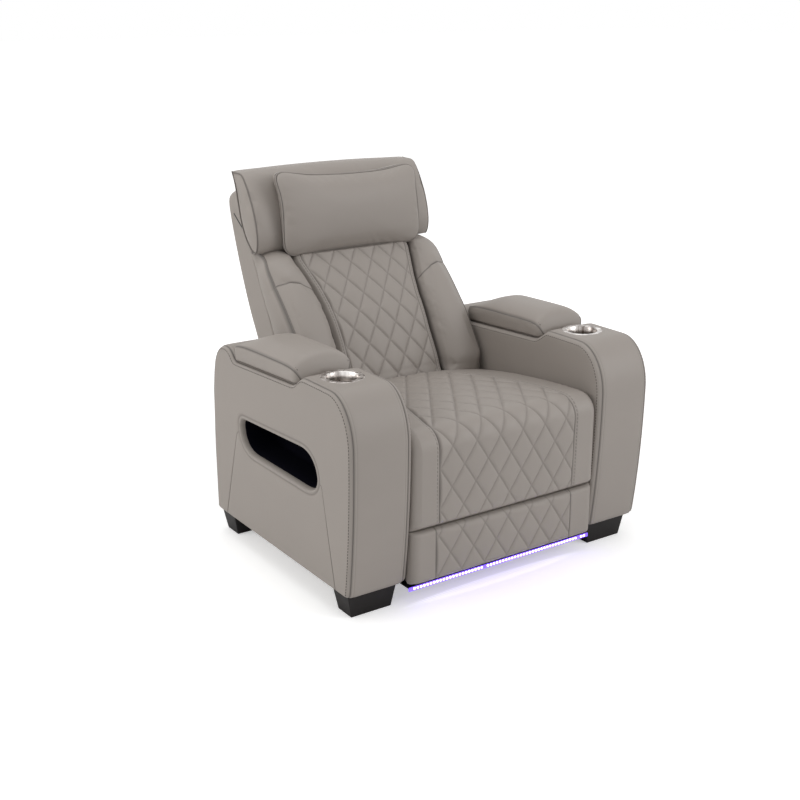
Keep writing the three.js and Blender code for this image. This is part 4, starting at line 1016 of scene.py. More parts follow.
# %% Lower pad
PAD_TOP, PAD_BOTTOM = 208.8, 63.0
PAD_BORDER_LEFT, PAD_BORDER_RIGHT = 236.0, 223.0
PAD_CORNER_Z, PAD_ROUND, PAD_RISE, PAD_BORDER_DEPTH = 187, 13, 4.0, 2.4
pad_line = resample(np.array([(FRONT_Y, PAD_TOP), (FRONT_Y, PAD_BOTTOM)]), QUILT_H / QUILT_STEPS)
pad_reach = reach_along(pad_line)
across_grid, v_grid = np.meshgrid(around, pad_line[:, 1] - PAD_CORNER_Z)
to_border = np.where(across_grid < 0, PAD_BORDER_LEFT, PAD_BORDER_RIGHT) - abs(across_grid)
quilted = ease(to_border, 0, 6) * on_top
relief, quilt_shade = quilt(across_grid, v_grid, QUILT_W, QUILT_H, quilted, PAD_RISE)
border_line = bell(to_border, BORDER_WIDTH) * on_top
relief = relief - PAD_BORDER_DEPTH * border_line
belly = np.sin(np.linspace(0, math.pi, len(pad_line)))[:, None] ** 0.6
ends = np.minimum(pad_reach, pad_reach[-1] - pad_reach)
squeeze = PAD_ROUND * (1 - np.sqrt(1 - (1 - np.clip(ends / PAD_ROUND, 0, 1)) ** 2))
offset = relief * ease(ends, 2, 20)[:, None] - depth[None, :] + belly
offset = offset + (depth[None, :] - THICK / 2) / (THICK / 2) * squeeze[:, None]
height = np.broadcast_to(pad_line[:, 1][:, None], offset.shape)
points = np.stack([across_grid, FRONT_Y + 1 - offset, height], -1)
rows, count = points.shape[:2]
# Painted shade in the quilting's lines and along the border seam
seam_shade = np.maximum(quilt_shade, 0.9 * border_line)
faces = closed_faces(rows, count, turned=True)
lower_pad = new_solid("footrest_lower_cover", points.reshape(-1, 3), faces, "footrest", leather,
                      seam_shade.ravel())
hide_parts("footrest_lower_pad")
print("lower pad points", rows * count)

# %% [markdown]
# ## Back cushions
#
# The back has a quilted middle and a plain, fuller cushion at each side. All three follow lines in
# the side view, which leans back by about 25 degrees. The middle is made of a face sheet and a back
# sheet, and its lower end is round, because it turns with the back behind the seat.

# %% Lines of the back
# A point is how far up and how far back it lies from (BACK_Y, BACK_Z), as shares of the back's run
BACK_Y, BACK_Z, BACK_RUN = 110.0, 450.0, 326.0
CENTRE_FACE = [(0, -0.27), (0.08, -0.248), (0.33, -0.117), (0.5, -0.021), (0.64, 0.089), (0.78, 0.202),
               (0.9, 0.307), (1, 0.399)]
CENTRE_TOP = [(1.035, 0.42), (1.048, 0.47), (1.05, 0.56)]
BACK_BASE = [(0.04, 0.02), (0.09, 0.236), (0.386, 0.411)]
CENTRE_HALF = 168
CENTRE_WIDTH = [(-0.4, 1.02), (0, 1.02), (0.33, 1.0), (0.5, 1.012), (0.64, 1.03), (0.78, 1.083), (1, 1.22)]
CENTRE_FOOT, REAR_FOOT, BOLSTER_FOOT = 155, 155, 163


def back_points(shares):
    """Points in (y, z) from pairs of how far up and how far back, as shares of the back's run."""
    return np.array([(BACK_Y + BACK_RUN * back, BACK_Z + BACK_RUN * up) for up, back in shares])


def foot_arc(radius, first, last, count=14):
    """The round foot of the back, about the tube that it turns on."""
    turn = np.radians(np.linspace(first, last, count))
    return np.stack([BACK_PIVOT[0] + radius * np.cos(turn), BACK_PIVOT[1] + radius * np.sin(turn)], 1)


def spread(line, count, rounds=1):
    """A line as this many even points, with its corners softened first."""
    line = smooth_line(line, rounds)
    reach = reach_along(line)
    return at_reach(np.linspace(0, reach[-1], count), reach, line)


def side_normals(line):
    """Unit normals to the left of a line in (y, z)."""
    along = unit(np.gradient(line, axis=0))
    return np.stack([-along[:, 1], along[:, 0]], 1)


def height_share(line):
    return (line[:, 1] - BACK_Z) / BACK_RUN


def centre_half(share):
    """Half the width of the quilted middle at this height."""
    return CENTRE_HALF * np.interp(share, *zip(*CENTRE_WIDTH))


print("back runs from", BACK_Z, "to", BACK_Z + BACK_RUN, "mm")

# %% Back centre cushion
ROWS, COLUMNS = 250, 220
BACK_W, BACK_H = 72.0, 102.0
BACK_LEAN = math.radians(24.5)
BACK_FOOT_Y, BACK_FOOT_Z, BACK_CORNER, BACK_SHIFT = 17, 442, 110, 5
WELT_IN, WELT_DEPTH, BACK_STITCH_IN, BACK_STITCH_DEPTH = 22, 1.8, 15, 0.9
BACK_CROWN, EDGE_FALL, END_FALL = 9, 15, 12
UNDER_HEADREST = 791

front_line = np.vstack([foot_arc(115, 200, CENTRE_FOOT), back_points(CENTRE_FACE + CENTRE_TOP)])
front_line = spread(front_line, ROWS, 2)
rear_line = np.vstack([foot_arc(92, 200, REAR_FOOT), back_points(BACK_BASE), [(345, 782)]])
rear_line = spread(rear_line, ROWS)
normals = side_normals(front_line)
share = height_share(front_line)
half = centre_half(share)[:, None]
# The columns lie closer together near both edges
u = np.linspace(-1, 1, COLUMNS)
x = np.sign(u) * (1 - (1 - abs(u)) ** 1.25) * half
# Height along the leaning plane, from the foot of the quilting
up_the_lean = (front_line[:, 0] - BACK_FOOT_Y) * math.sin(BACK_LEAN)
up_the_lean = up_the_lean + (front_line[:, 1] - BACK_FOOT_Z) * math.cos(BACK_LEAN)
from_edge = half - abs(x)
quilted = ease(from_edge, WELT_IN, WELT_IN + 6)
relief, quilt_shade = quilt(x - BACK_SHIFT, (up_the_lean - BACK_CORNER)[:, None], BACK_W, BACK_H, quilted)
welt = bell(from_edge - WELT_IN, 1.5)
stitches = bell(from_edge - BACK_STITCH_IN, 1.2)
shown = ease(share, -0.12, 0.0)[:, None]
crown = BACK_CROWN * (1 - (x / half) ** 2)
relief = (relief - WELT_DEPTH * welt - BACK_STITCH_DEPTH * stitches + crown) * shown
relief = relief - EDGE_FALL * bell(from_edge, 7.5)
ends = np.minimum(np.arange(ROWS), ROWS - 1 - np.arange(ROWS)) * 2.0
relief = relief - END_FALL * bell(ends, 6.0)[:, None]
face = np.stack([x, front_line[:, None, 0] + normals[:, None, 0] * relief,
                 front_line[:, None, 1] + normals[:, None, 1] * relief], -1)
face[..., 2] = np.minimum(face[..., 2], UNDER_HEADREST)
rear = np.stack([x * 0.985, np.broadcast_to(rear_line[:, None, 0], x.shape),
                 np.broadcast_to(rear_line[:, None, 1], x.shape)], -1)
points, faces = pad_mesh(face, rear)
dashes = np.where(np.arange(ROWS) % 4 == 0, 0.0, 1.0)[:, None]
# Painted shade in the quilting's lines, along the welt, and at the edge where the cushion falls away; darker
# dashes for the stitches
seam_shade = np.maximum.reduce([quilt_shade, 0.7 * welt, 0.7 * stitches * dashes, bell(from_edge, 2.0)])
seam_shade = np.concatenate([seam_shade.ravel(), np.zeros(seam_shade.size)])
centre = new_solid("back_centre_cover", points, faces, "back", leather, seam_shade)
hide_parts("back_centre_cushion")
print("back centre", len(points))

# %% [markdown]
# ## Side cushions of the back
#
# Each side cushion is plain, with a curved seam across its shoulder and piping down its outer edge. It
# is made of rings: over the face, round the outer side, and back along the rear and the inner wall.

# %% Side cushions of the back
BOLSTER_FACE = [(0, -0.335), (0.07, -0.35), (0.16, -0.294), (0.33, -0.187), (0.45, -0.104), (0.55, -0.015),
                (0.7, 0.123), (0.8, 0.23), (0.9, 0.322)]
BOLSTER_SHOULDER = [(0.97, 0.385), (1.02, 0.45), (1.042, 0.53), (1.05, 0.62), (1.05, 0.72)]
INNER_SHOULDER = [(1.03, 0.42), (1.045, 0.48), (1.05, 0.58), (1.05, 0.72)]
BOLSTER_OUT, BOLSTER_REAR_IN, BOLSTER_CROWN, GUSSET_BULGE = 299.0, 14, 22, 9
CORNER_FROM_Z, CORNER_RUN, CORNER_IN = 748, 46, 26
# The seam across the shoulder: how far across, and how high
SHOULDER_SEAM = (175, 200, 230, 260, 299), (688, 699, 710, 717, 720)
PIPING_FROM_ROW = 30


def bridge(start, stop, count):
    """Points that lead from one point to another, without the first."""
    t = np.linspace(0, 1, count)[1:, None]
    return np.asarray(start) + (np.asarray(stop) - np.asarray(start)) * t


def bolster(side, face_columns=64):
    outer_line = np.vstack([foot_arc(115, 200, BOLSTER_FOOT), back_points(BOLSTER_FACE + BOLSTER_SHOULDER)])
    inner_line = np.vstack([foot_arc(115, 200, CENTRE_FOOT), back_points(CENTRE_FACE + INNER_SHOULDER)])
    base = np.vstack([foot_arc(92, 200, REAR_FOOT), back_points(BACK_BASE), [(356, 786)]])
    outer_line, inner_line = spread(outer_line, ROWS, 2), spread(inner_line, ROWS, 2)
    base = spread(base, ROWS)
    normal = side_normals(outer_line)
    share = height_share(outer_line)
    inner_x = centre_half(share) + 3.0
    crown = BOLSTER_CROWN * ease(share, -0.25, 0.05) * (1 - 0.5 * ease(share, 0.85, 1.05))
    u = np.linspace(0, 1, face_columns)
    u = 0.5 - 0.5 * np.cos(math.pi * u) * (0.6 + 0.4 * abs(np.cos(math.pi * u)))
    rings, seam_shades = [], []
    for k in range(ROWS):
        # The top outer corner is rounded, as seen from the front
        rise = np.clip((outer_line[k, 1] - CORNER_FROM_Z) / CORNER_RUN, 0, 1)
        a, b = inner_x[k], BOLSTER_OUT - CORNER_IN * (1 - math.sqrt(1 - 0.98 * rise**2))
        x = a + (b - a) * u
        height = inner_line[k, 1] * (1 - u) + outer_line[k, 1] * u
        to_seam = height - np.interp(x, *SHOULDER_SEAM)
        lift = crown[k] * np.sin(math.pi * u**0.85) ** 0.62
        lift -= 13 * bell(x - a, 6.0) + 2.5 * bell(b - x, 2.6)
        lift -= 1.6 * bell(to_seam, 2.0) + 1.4 * bell(to_seam, 9.0)
        y = inner_line[k, 0] * (1 - u) + outer_line[k, 0] * u + normal[k, 0] * lift
        top = np.stack([x, y, height + normal[k, 1] * lift], 1)
        # Side gusset from the piping to the shell, then the flat back and the inner wall
        rear_y, rear_z = base[k]
        t = np.linspace(0, 1, 18)[1:]
        bulge = GUSSET_BULGE * np.sin(math.pi * t**0.8) ** 0.7
        gusset_x = b + (BOLSTER_OUT - BOLSTER_REAR_IN - b) * t**2 + bulge - 0.5
        gusset = np.stack([gusset_x, top[-1, 1] + (rear_y - top[-1, 1]) * t,
                           top[-1, 2] + (rear_z - top[-1, 2]) * t], 1)
        under = bridge((gusset_x[-1], rear_y, rear_z), (a + 2, rear_y, rear_z), 8)
        wall = bridge((a + 2, rear_y, rear_z), (a, *top[0, 1:]), 8)[:-1]
        rings.append(np.vstack([top, gusset, under, wall]))
        # Painted shade in the shoulder seam, along the piping, in the gap beside the middle cushion, and on
        # the gusset's first column
        sewn = np.maximum.reduce([0.9 * bell(to_seam, 1.4), bell(b - x, 1.2), 0.8 * bell(x - a, 3.0)])
        seam_shades.append(np.r_[sewn, 0.5, np.zeros(len(rings[-1]) - face_columns - 1)])
    rings = np.stack(rings)
    rings[..., 0] *= side
    name = SIDE_NAMES[side]
    piece = new_solid("back_side_cover_" + name, rings.reshape(-1, 3), closed_faces(*rings.shape[:2]), "back",
                      leather, np.concatenate(seam_shades))
    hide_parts("back_bolster_" + name)
    points, faces = tube_mesh(resample(rings[PIPING_FROM_ROW:, face_columns - 1], 4.0), 1.3)
    new_piece("back_side_piping_" + name, points, faces, "back", piping_leather_painted_dark)
    return piece


side_covers = [bolster(side) for side in SIDES]
print("side cushion", len(side_covers[0].data.vertices), "points each")

# %% [markdown]
# ## Back shell
#
# Behind the cushions a leather shell covers the back, like a deep tray. It is a U-shaped section that
# is swept from the skirt behind the seat up to the rounded top, and given a thickness.

# %% Back shell
SHELL_HALF, SHELL_ROUND, SHELL_THICKNESS = 276.0, 24.0, 0.008
SHELL_REARMOST = 515
shell_rear = np.vstack([
    foot_arc(140, -60, 8, 16),
    back_points([(-0.03, 0.6), (0.11, 0.69), (0.255, 0.752), (0.494, 0.893), (0.8, 1.028), (1.156, 1.16)]),
    [(SHELL_REARMOST, 925)],
    back_points([(1.52, 1.2), (1.545, 1.12), (1.53, 1.05)]),
])
shell_front = np.vstack([
    foot_arc(134, -60, 8, 10),
    back_points([(0.085, 0.255), (0.3865, 0.411), (1.049, 0.77), (1.411, 0.975), (1.53, 1.05)]),
])


def paired(line, marks, counts):
    """A line cut at marked points, each stretch spread over its own number of rows."""
    line = smooth_line(line, 2)
    reach = reach_along(line)
    cuts = [0] + [int(np.argmin(((line - np.array(mark)) ** 2).sum(1))) for mark in marks] + [len(line) - 1]
    at = []
    for first, last, count in zip(cuts[:-1], cuts[1:], counts):
        at += list(np.linspace(reach[first], reach[last], count, endpoint=False))
    return at_reach(at + [reach[-1]], reach, line)


STRETCHES = (18, 16, 46, 22)
rear_rows = paired(shell_rear, [(248.6, 399.5), (335, 486), (488, 827)], STRETCHES)
front_rows = paired(shell_front, [(240, 400), (210, 480), (400, 860)], STRETCHES)
rows = len(rear_rows)
turn = np.radians(np.linspace(0, 90, 9))[1:]
rings = []
for k, (f, r) in enumerate(zip(front_rows, rear_rows)):
    deep = np.linalg.norm(r - f)
    radius = min(SHELL_ROUND, deep * 0.5)
    half = SHELL_HALF - 16 * ease(k, rows - 14, rows - 1) ** 2
    wall = np.stack([np.full(10, half), np.linspace(0, 1, 10) * (deep - radius)], 1)
    corner = np.stack([half - radius + radius * np.cos(turn), deep - radius + radius * np.sin(turn)], 1)
    across = np.linspace(half - radius, 0, 18)[1:]
    flat = np.stack([across, deep + 4 * (1 - (across / (half - radius)) ** 2)], 1)
    right = np.vstack([wall, corner, flat])
    whole = np.vstack([right, right[:-1][::-1] * (-1, 1)])
    placed = f + (r - f) / max(deep, 1e-6) * whole[:, 1:]
    rings.append(np.hstack([whole[:, :1], placed]))
rings = np.stack(rings)
rings[..., 1] = np.minimum(rings[..., 1], SHELL_REARMOST)
shell = new_piece("back_shell_cover", rings.reshape(-1, 3), grid_faces(rows, rings.shape[1]), "back", leather)
solid = shell.modifiers.new("thickness", "SOLIDIFY")
solid.thickness, solid.offset = SHELL_THICKNESS, 1.0
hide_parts("back_shell")
print("shell rows", rows)

# %% [markdown]
# ## Slots in the shell
#
# The bracket that carries the headrest moves in a slot in each side of the shell. A slot's black
# edging is a round cord along its line, pressed flat against the leather.

# %% Slots in the shell's sides
SLOT_LINE = [(401, 846), (433, 868), (465, 891)]
SLOT_PLACE = SHELL_HALF + 8.2
for side in SIDES:
    points, faces = tube_mesh(resample([(side * SLOT_PLACE, y, z) for y, z in SLOT_LINE], 5.0), 2.2)
    points[:, 0] = side * SLOT_PLACE + (points[:, 0] - side * SLOT_PLACE) * 0.5
    new_piece("headrest_slot_edging_" + SIDE_NAMES[side], points, faces, "back", black_plastic)
print("slot edging", len(points), "points each")

# %% [markdown]
# ## Headrest
#
# The headrest is a long padded roll across the top of the back, with a pillow on its face. The roll
# has a leaf-shaped panel sewn into each end.

# %% Headrest roll
HEAD_HALF = 303.0
leaf_front = [(300, 794), (292, 800), (285, 815), (281.5, 840), (285, 868), (292, 895), (303, 925),
              (318, 953), (337, 985), (358, 1011), (374, 1021), (390, 1023)]
leaf_rear = [(424, 1023), (434, 1025), (427, 1011), (418, 995), (408, 965), (398, 925), (385, 877),
             (360, 832), (325, 800), (312, 794)]
leaf = resample(smooth_line(leaf_front + leaf_rear, 1, closed=True), 4.0, closed=True)
leaf_middle, leaf_out = leaf.mean(0), outward(leaf)
stations = np.r_[np.linspace(0, HEAD_HALF - 12, 60), HEAD_HALF - np.array([8, 5, 3, 1.6, 0.6, 0])]
stations = np.r_[-stations[::-1], stations[1:]]
rings = []
for x in stations:
    edge = HEAD_HALF - abs(x)
    # The roll is fullest in the middle, and it is drawn in where the end panels are sewn on
    fullness = 7.0 * (1 - (x / HEAD_HALF) ** 2) - 2.2 * bell(edge, 1.8) - 0.8 * bell(edge, 10)
    rings.append(place_at(x, leaf + leaf_out * fullness))
# Each end panel: its rings towards the middle, and how far out they stand
END_PANEL = ((0.985, -1.2), (0.96, 0.6), (0.9, 2.2), (0.8, 3.8), (0.65, 5.0), (0.45, 5.6), (0.25, 5.6),
             (0.08, 5.6))
end_line = rings[0][:, 1:] - leaf_middle
caps_left, caps_right = [
    [place_at(side * (HEAD_HALF + out), leaf_middle + end_line * t) for t, out in END_PANEL] for side in SIDES
]
rings = np.stack(caps_left[::-1] + rings + caps_right)
rows, count = rings.shape[:2]
# Painted shade along the seams of the end panels
seam_shade = np.zeros((rows, count))
for k in range(len(END_PANEL) - 1, len(END_PANEL) + 2):
    seam_shade[k] = seam_shade[rows - 1 - k] = 1
head = new_solid("headrest_roll", rings.reshape(-1, 3), closed_faces(rows, count), "headrest", leather,
                 seam_shade.ravel())
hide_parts("headrest_core")
for name, row in (("left", len(END_PANEL)), ("right", rows - 1 - len(END_PANEL))):
    points, faces = tube_mesh(resample(rings[row], 5.0, closed=True), 2.0, closed=True)
    new_piece("headrest_roll_piping_" + name, points, faces, "headrest", piping_leather_painted_dark)
print("headrest roll", rows * count)

# %% [markdown]
# ## Headrest pillow
#
# The pillow's edge is piped, and its leather is gathered a little into the piping. Its rings start at
# the middle of its back, go out to the piping, and come back in over the face. The back is pressed
# flat where it lies on the roll.

# %% Headrest pillow
# Half of the pillow's outline, in x and z: its sides pull in between the corners, and its top dips
pillow_half = np.array([(0, 794), (120, 792), (186, 788), (210, 789), (226, 797), (235, 811), (239, 830),
                        (239, 870), (237, 920), (237, 960), (241, 992), (240, 1008), (231, 1019),
                        (214, 1023), (185, 1019), (120, 1010), (0, 1007)])
pillow_line = np.vstack([pillow_half, (pillow_half * (-1, 1))[1:-1][::-1]])
pillow_line = resample(smooth_line(pillow_line, 2, closed=True), 4.0, closed=True)
# Its top is a little higher on the left
pillow_line[:, 1] -= 0.018 * pillow_line[:, 0] * ease(pillow_line[:, 1], 830, 990)
PILLOW_LEAN = smooth_line([(770, 254), (860, 253), (930, 260), (980, 276), (1010, 290), (1040, 306)], 4)
ROLL_FACE = smooth_line([(770, 292), (815, 285), (840, 281), (868, 285), (895, 292), (925, 303), (953, 318),
                         (985, 337), (1011, 358), (1030, 384)], 3)
PILLOW_RIGHT, PILLOW_REACH = 5.0, 110.0
FACE_DEPTH, BACK_DEPTH = 23.0, -75.0
pillow_middle = np.array([0.0, 898.0])


def pillow_sheet(depth, power, share):
    """Rings from the piping to the middle, which stand proud by depth."""
    rows = []
    for t in share:
        line = pillow_middle + (pillow_line - pillow_middle) * t
        lean = np.interp(line[:, 1], *PILLOW_LEAN.T)
        rise = depth * (1 - t**power) ** 0.55
        # Short puckers where the leather is gathered into the piping
        arc = 4.0 * np.arange(len(line))
        from_rim = (1 - t) * PILLOW_REACH
        pucker = np.sin(arc / 6.1 + 2.2 * np.sin(arc / 37)) * (0.6 + 0.4 * np.sin(arc / 83 + 1))
        rise = rise + 0.7 * pucker * bell(from_rim - 9, 7) * np.sign(depth)
        y = lean - rise
        if depth < 0:
            y = np.minimum(y, np.interp(line[:, 1], *ROLL_FACE.T) - 6.5)
            y = np.maximum(y, lean + 0.5)
        rows.append(np.stack([line[:, 0] + PILLOW_RIGHT, y, line[:, 1]], 1))
    return rows


inward_share = np.r_[0.992, 1 - np.linspace(0, 1, 44)[1:] ** 1.5 * 0.985]
front_rings = pillow_sheet(FACE_DEPTH, 3.2, inward_share)
back_rings = pillow_sheet(BACK_DEPTH, 9.0, inward_share)
rim = pillow_sheet(0.0, 2.0, [1.0])
rings = np.stack(back_rings[::-1] + rim + front_rings)
rows, count = rings.shape[:2]
# Painted shade at the piping, on the two rings beside it
seam_shade = np.zeros((rows, count))
seam_shade[len(back_rings)] = 1
seam_shade[len(back_rings) + 1] = 0.9
pillow = new_solid("headrest_pillow_cover", rings.reshape(-1, 3), closed_faces(rows, count), "headrest",
                   leather, seam_shade.ravel())
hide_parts("headrest_pillow")
points, faces = tube_mesh(rim[0], 2.4, closed=True)
# The piping is darkened a little, as painted shade
new_piece("headrest_pillow_piping", points, faces, "headrest", leather, np.full(len(points), 0.25))
print("pillow", rows * count)

# %% [markdown]
# ## Arm lids
#
# A padded lid covers the bin in each arm. Its side is a flat band of leather, its top is a soft crown
# that rolls down at the front.

# %% Lids
LID_IN, LID_OUT, LID_FRONT, LID_REAR = 315.0, 490.0, -253.2, 95.0
LID_CROWN = 30.0


def ledge(y):
    return np.interp(y, [LEDGE_FRONT[0], LEDGE_REAR[0]], [LEDGE_FRONT[1], LEDGE_REAR[1]])


# Height of the seam between a lid's side and its top, from front to rear
LID_SEAM = smooth_line([(-253.2, 575), (-250, 586), (-245, 598), (-236, 606), (-222, 609), (-189, 610.5),
                        (-102, 608.6), (5, 605.6), (50, 602), (80, 597), (95, 590)], 2)
LID_FRONT_ROUND, LID_REAR_ROUND, LID_LIFT = 24, 14, 3.5
# A ring goes up one side, over the top, down the other side, and back underneath
LID_WALL, LID_TOP = 8, 60
LID_TOP_FIRST = LID_WALL + 2
LID_TOP_LAST = LID_TOP_FIRST + LID_TOP - 1


def corner_inset(distance, radius):
    """How far a rounded corner of this radius draws in, at this distance from the end."""
    return radius * (1 - math.sqrt(1 - (1 - min(distance / radius, 1)) ** 2))


def lid(side):
    middle, half = (LID_IN + LID_OUT) / 2, (LID_OUT - LID_IN) / 2
    t = np.linspace(0, 1, 110)
    rings = []
    for y in LID_FRONT + (LID_REAR - LID_FRONT) * (t - 0.12 * np.sin(2 * math.pi * t)):
        from_front, from_rear = y - LID_FRONT, LID_REAR - y
        width = half - max(corner_inset(from_front, LID_FRONT_ROUND), corner_inset(from_rear, LID_REAR_ROUND))
        bottom = ledge(y) + LID_LIFT
        side_height = np.interp(y, *LID_SEAM.T) - bottom
        front_roll = (1 - (1 - np.clip(from_front / 50, 0, 1)) ** 2.4) ** 0.6
        crown = LID_CROWN * front_roll * (0.1 + 0.9 * ease(from_rear, 0, 120))
        up = np.linspace(0, 1, LID_WALL)
        wall_x = width + 1.6 * np.sin(math.pi * up) - 1.0
        wall_z = bottom + 3 + (side_height - 3) * up
        over = np.linspace(1, -1, LID_TOP)
        top_z = bottom + side_height + 2.4 + crown * np.clip(1 - abs(over) ** 2.6, 0, 1) ** 0.8
        top = np.stack([over * (width - 3.4), top_z], 1)
        right = np.stack([np.r_[width - 3, wall_x, width - 2.2],
                          np.r_[bottom, wall_z, bottom + side_height + 0.6]], 1)
        under = np.stack([np.linspace(-width + 4, width - 4, 12), np.full(12, bottom)], 1)
        ring = np.vstack([right, top, right[::-1] * (-1, 1), under])
        rings.append(np.stack([side * (middle + ring[:, 0]), np.full(len(ring), y), ring[:, 1]], 1))
    rings = np.stack(rings)
    rows, count = rings.shape[:2]
    # Painted shade along the seams between the lid's sides and its top
    seam_shade = np.zeros((rows, count))
    for from_top, value in ((2, 0.5), (1, 1), (0, 0.5)):
        seam_shade[:, LID_TOP_FIRST - from_top] = seam_shade[:, LID_TOP_LAST + from_top] = value
    name = SIDE_NAMES[side]
    piece = new_solid("lid_cover_" + name, rings.reshape(-1, 3), closed_faces(rows, count), "lid_" + name,
                      leather, seam_shade.ravel())
    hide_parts("lid_" + name)
    return piece, rings


lid_covers, lid_rings = zip(*(lid(side) for side in SIDES))
print("lid", len(lid_covers[0].data.vertices), "points each")

# %% [markdown]
# ## Filling out the leather
#
# Leather over foam is held at its seams and swells a little between them. A cloth simulation shows how
# much: a coarse copy of the cushion is put under pressure for some frames. Its movement is then carried
# over to the fine mesh, less near the seams, so that the seams stay sharp. Only the plain cushions are
# filled out so. The movement is capped, as their meshes have most of their crown already.


# %% Cloth simulation
def mesh_points(mesh):
    """The points of a mesh, in metres."""
    flat = np.empty(len(mesh.vertices) * 3, np.float32)
    mesh.vertices.foreach_get("co", flat)
    return flat.reshape(-1, 3).astype(float)


def swell(piece, keep, cap, voxel=0.006, pressure=4.0, stiffness=40, frames=14):
    """Moves the points of a cushion as cloth under pressure would. keep is 0 where they stay."""
    coarse = bpy.data.objects.new(piece.name + "_trial", piece.data.copy())
    bpy.context.scene.collection.objects.link(coarse)
    remesh = coarse.modifiers.new("even", "REMESH")
    remesh.mode, remesh.voxel_size = "VOXEL", voxel
    graph = bpy.context.evaluated_depsgraph_get()
    even = bpy.data.meshes.new_from_object(coarse.evaluated_get(graph))
    coarse.modifiers.clear()
    coarse.data = even
    before = mesh_points(even)
    cloth = coarse.modifiers.new("leather", "CLOTH")
    cloth.settings.quality = 4
    cloth.settings.use_pressure = True
    cloth.settings.uniform_pressure_force = pressure
    cloth.settings.effector_weights.gravity = 0
    cloth.settings.tension_stiffness = cloth.settings.compression_stiffness = stiffness
    cloth.settings.bending_stiffness = 2
    cloth.point_cache.frame_end = frames
    for frame_number in range(1, frames + 1):
        bpy.context.scene.frame_set(frame_number)
    graph = bpy.context.evaluated_depsgraph_get()
    after = mesh_points(coarse.evaluated_get(graph).data)
    bpy.context.scene.frame_set(1)
    shift = after - before
    shift -= shift.mean(0)
    far = np.linalg.norm(shift, axis=1)
    shift *= np.minimum(1, cap / np.maximum(far, 1e-9))[:, None]
    tree = KDTree(len(before))
    for k, point in enumerate(before):
        tree.insert(point, k)
    tree.balance()
    fine = mesh_points(piece.data)
    for k, point in enumerate(fine):
        if keep[k] <= 0:
            continue
        near = tree.find_n(point, 4)
        weights = np.array([1 / (found[2] + 1e-5) for found in near])
        fine[k] += keep[k] * (weights[:, None] * shift[[found[1] for found in near]]).sum(0) / weights.sum()
    piece.data.vertices.foreach_set("co", fine.ravel())
    piece.data.update()
    # The coarse copy has done its work
    bpy.data.objects.remove(coarse)
    print(piece.name, "moved by up to", round(float(far.max()) * 1000, 1), "mm before the cap")


def away_from_seams(piece):
    """1 where the leather is free to move, and 0 on its seams."""
    seam_shade = np.empty(len(piece.data.vertices), np.float32)
    piece.data.attributes["seam_shade"].data.foreach_get("value", seam_shade)
    return 1 - np.clip(seam_shade, 0, 1)


print("cloth runs here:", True)


# %% [markdown]
# ## Sewing thread
#
# The edges of the arms are top-stitched: beside each seam runs a row of short threads. Each thread is
# a little rounded bar that lies on the leather. All the threads of a row are one mesh.


# %% Rows of stitches
def stitch_row(path, normals, pitch=8.4, length=5.8, radius=1.05):
    """Short bars along a line of points in mm, each half sunk into the surface below it."""
    path, normals = np.asarray(path, float), np.asarray(normals, float)
    reach = reach_along(path)
    ring = np.linspace(0, 2 * math.pi, 6, endpoint=False)
    # Along the bar, and how thick it is there
    stations = ((-0.5, 0.35), (-0.36, 0.9), (0.0, 1.0), (0.36, 0.9), (0.5, 0.35))
    parts = []
    for centre in np.arange(pitch / 2, reach[-1] - pitch / 2, pitch):
        start, stop = at_reach([centre - 1, centre + 1], reach, path)
        along = (stop - start) / (np.linalg.norm(stop - start) + 1e-9)
        up = at_reach([centre], reach, normals)[0]
        up = up - along * up.dot(along)
        up /= np.linalg.norm(up) + 1e-9
        across = np.cross(along, up)
        middle = (start + stop) / 2 + up * radius * 0.35
        circle = np.outer(np.cos(ring), across) + np.outer(np.sin(ring), up)
        rings = [middle + along * length * where + radius * thick * circle for where, thick in stations]
        parts.append((np.concatenate(rings), closed_faces(len(stations), len(ring), turned=True)))
    return join_meshes(parts)


def arm_stitches(side):
    """Four rows round an arm: two on the band, and one on each side panel."""
    line = resample(arm_outline, 4.0, closed=True)
    normals = outward(line)
    underneath = (line[:, 1] < ARM_BOTTOM + 3) & (line[:, 0] > -480) & (line[:, 0] < 222)
    first = int(np.argmax(~underneath & np.roll(underneath, 1)))
    count = int((~underneath).sum())
    line, normals = np.roll(line, -first, 0)[:count], np.roll(normals, -first, 0)[:count]
    # Across, in from the outline, and how far each row's threads face sideways and outwards
    places = (
        (BAND_OUT - STITCH_IN, 0.6, 0.0, 1.0),
        (BAND_IN + STITCH_IN, 0.6, 0.0, 1.0),
        (ARM_OUTER - 1.2, 7.0, 1.0, 0.35),
        (ARM_INNER + 1.6, 9.5, -1.0, 0.35),
    )
    rows = [stitch_row(place_at(side * x, line - normals * inward), place_at(side * sideways, out * normals))
            for x, inward, sideways, out in places]
    points, faces = join_meshes(rows)
    new_piece("arm_stitches_" + SIDE_NAMES[side], points, faces, "base", thread)
    print("arm stitches", len(points) // 30)


def lid_stitches(side, rings):
    """Two rows on the top of a lid, beside the seams that join it to the lid's sides."""
    shown = (rings[:, 0, 1] > LID_FRONT + 10) & (rings[:, 0, 1] < LID_REAR - 8)
    rows = []
    for edge, next_in in ((LID_TOP_FIRST + 2, LID_TOP_FIRST + 5), (LID_TOP_LAST - 2, LID_TOP_LAST - 5)):
        path = rings[shown, edge]
        across = rings[shown, next_in] - path
        normals = np.stack([-across[:, 2] * np.sign(across[:, 0]), 0 * across[:, 1], abs(across[:, 0])], 1)
        rows.append(stitch_row(path, normals, radius=0.8))
    points, faces = join_meshes(rows)
    name = SIDE_NAMES[side]
    new_piece("lid_stitches_" + name, points, faces, "lid_" + name, thread)
    print("lid stitches", len(points) // 30)


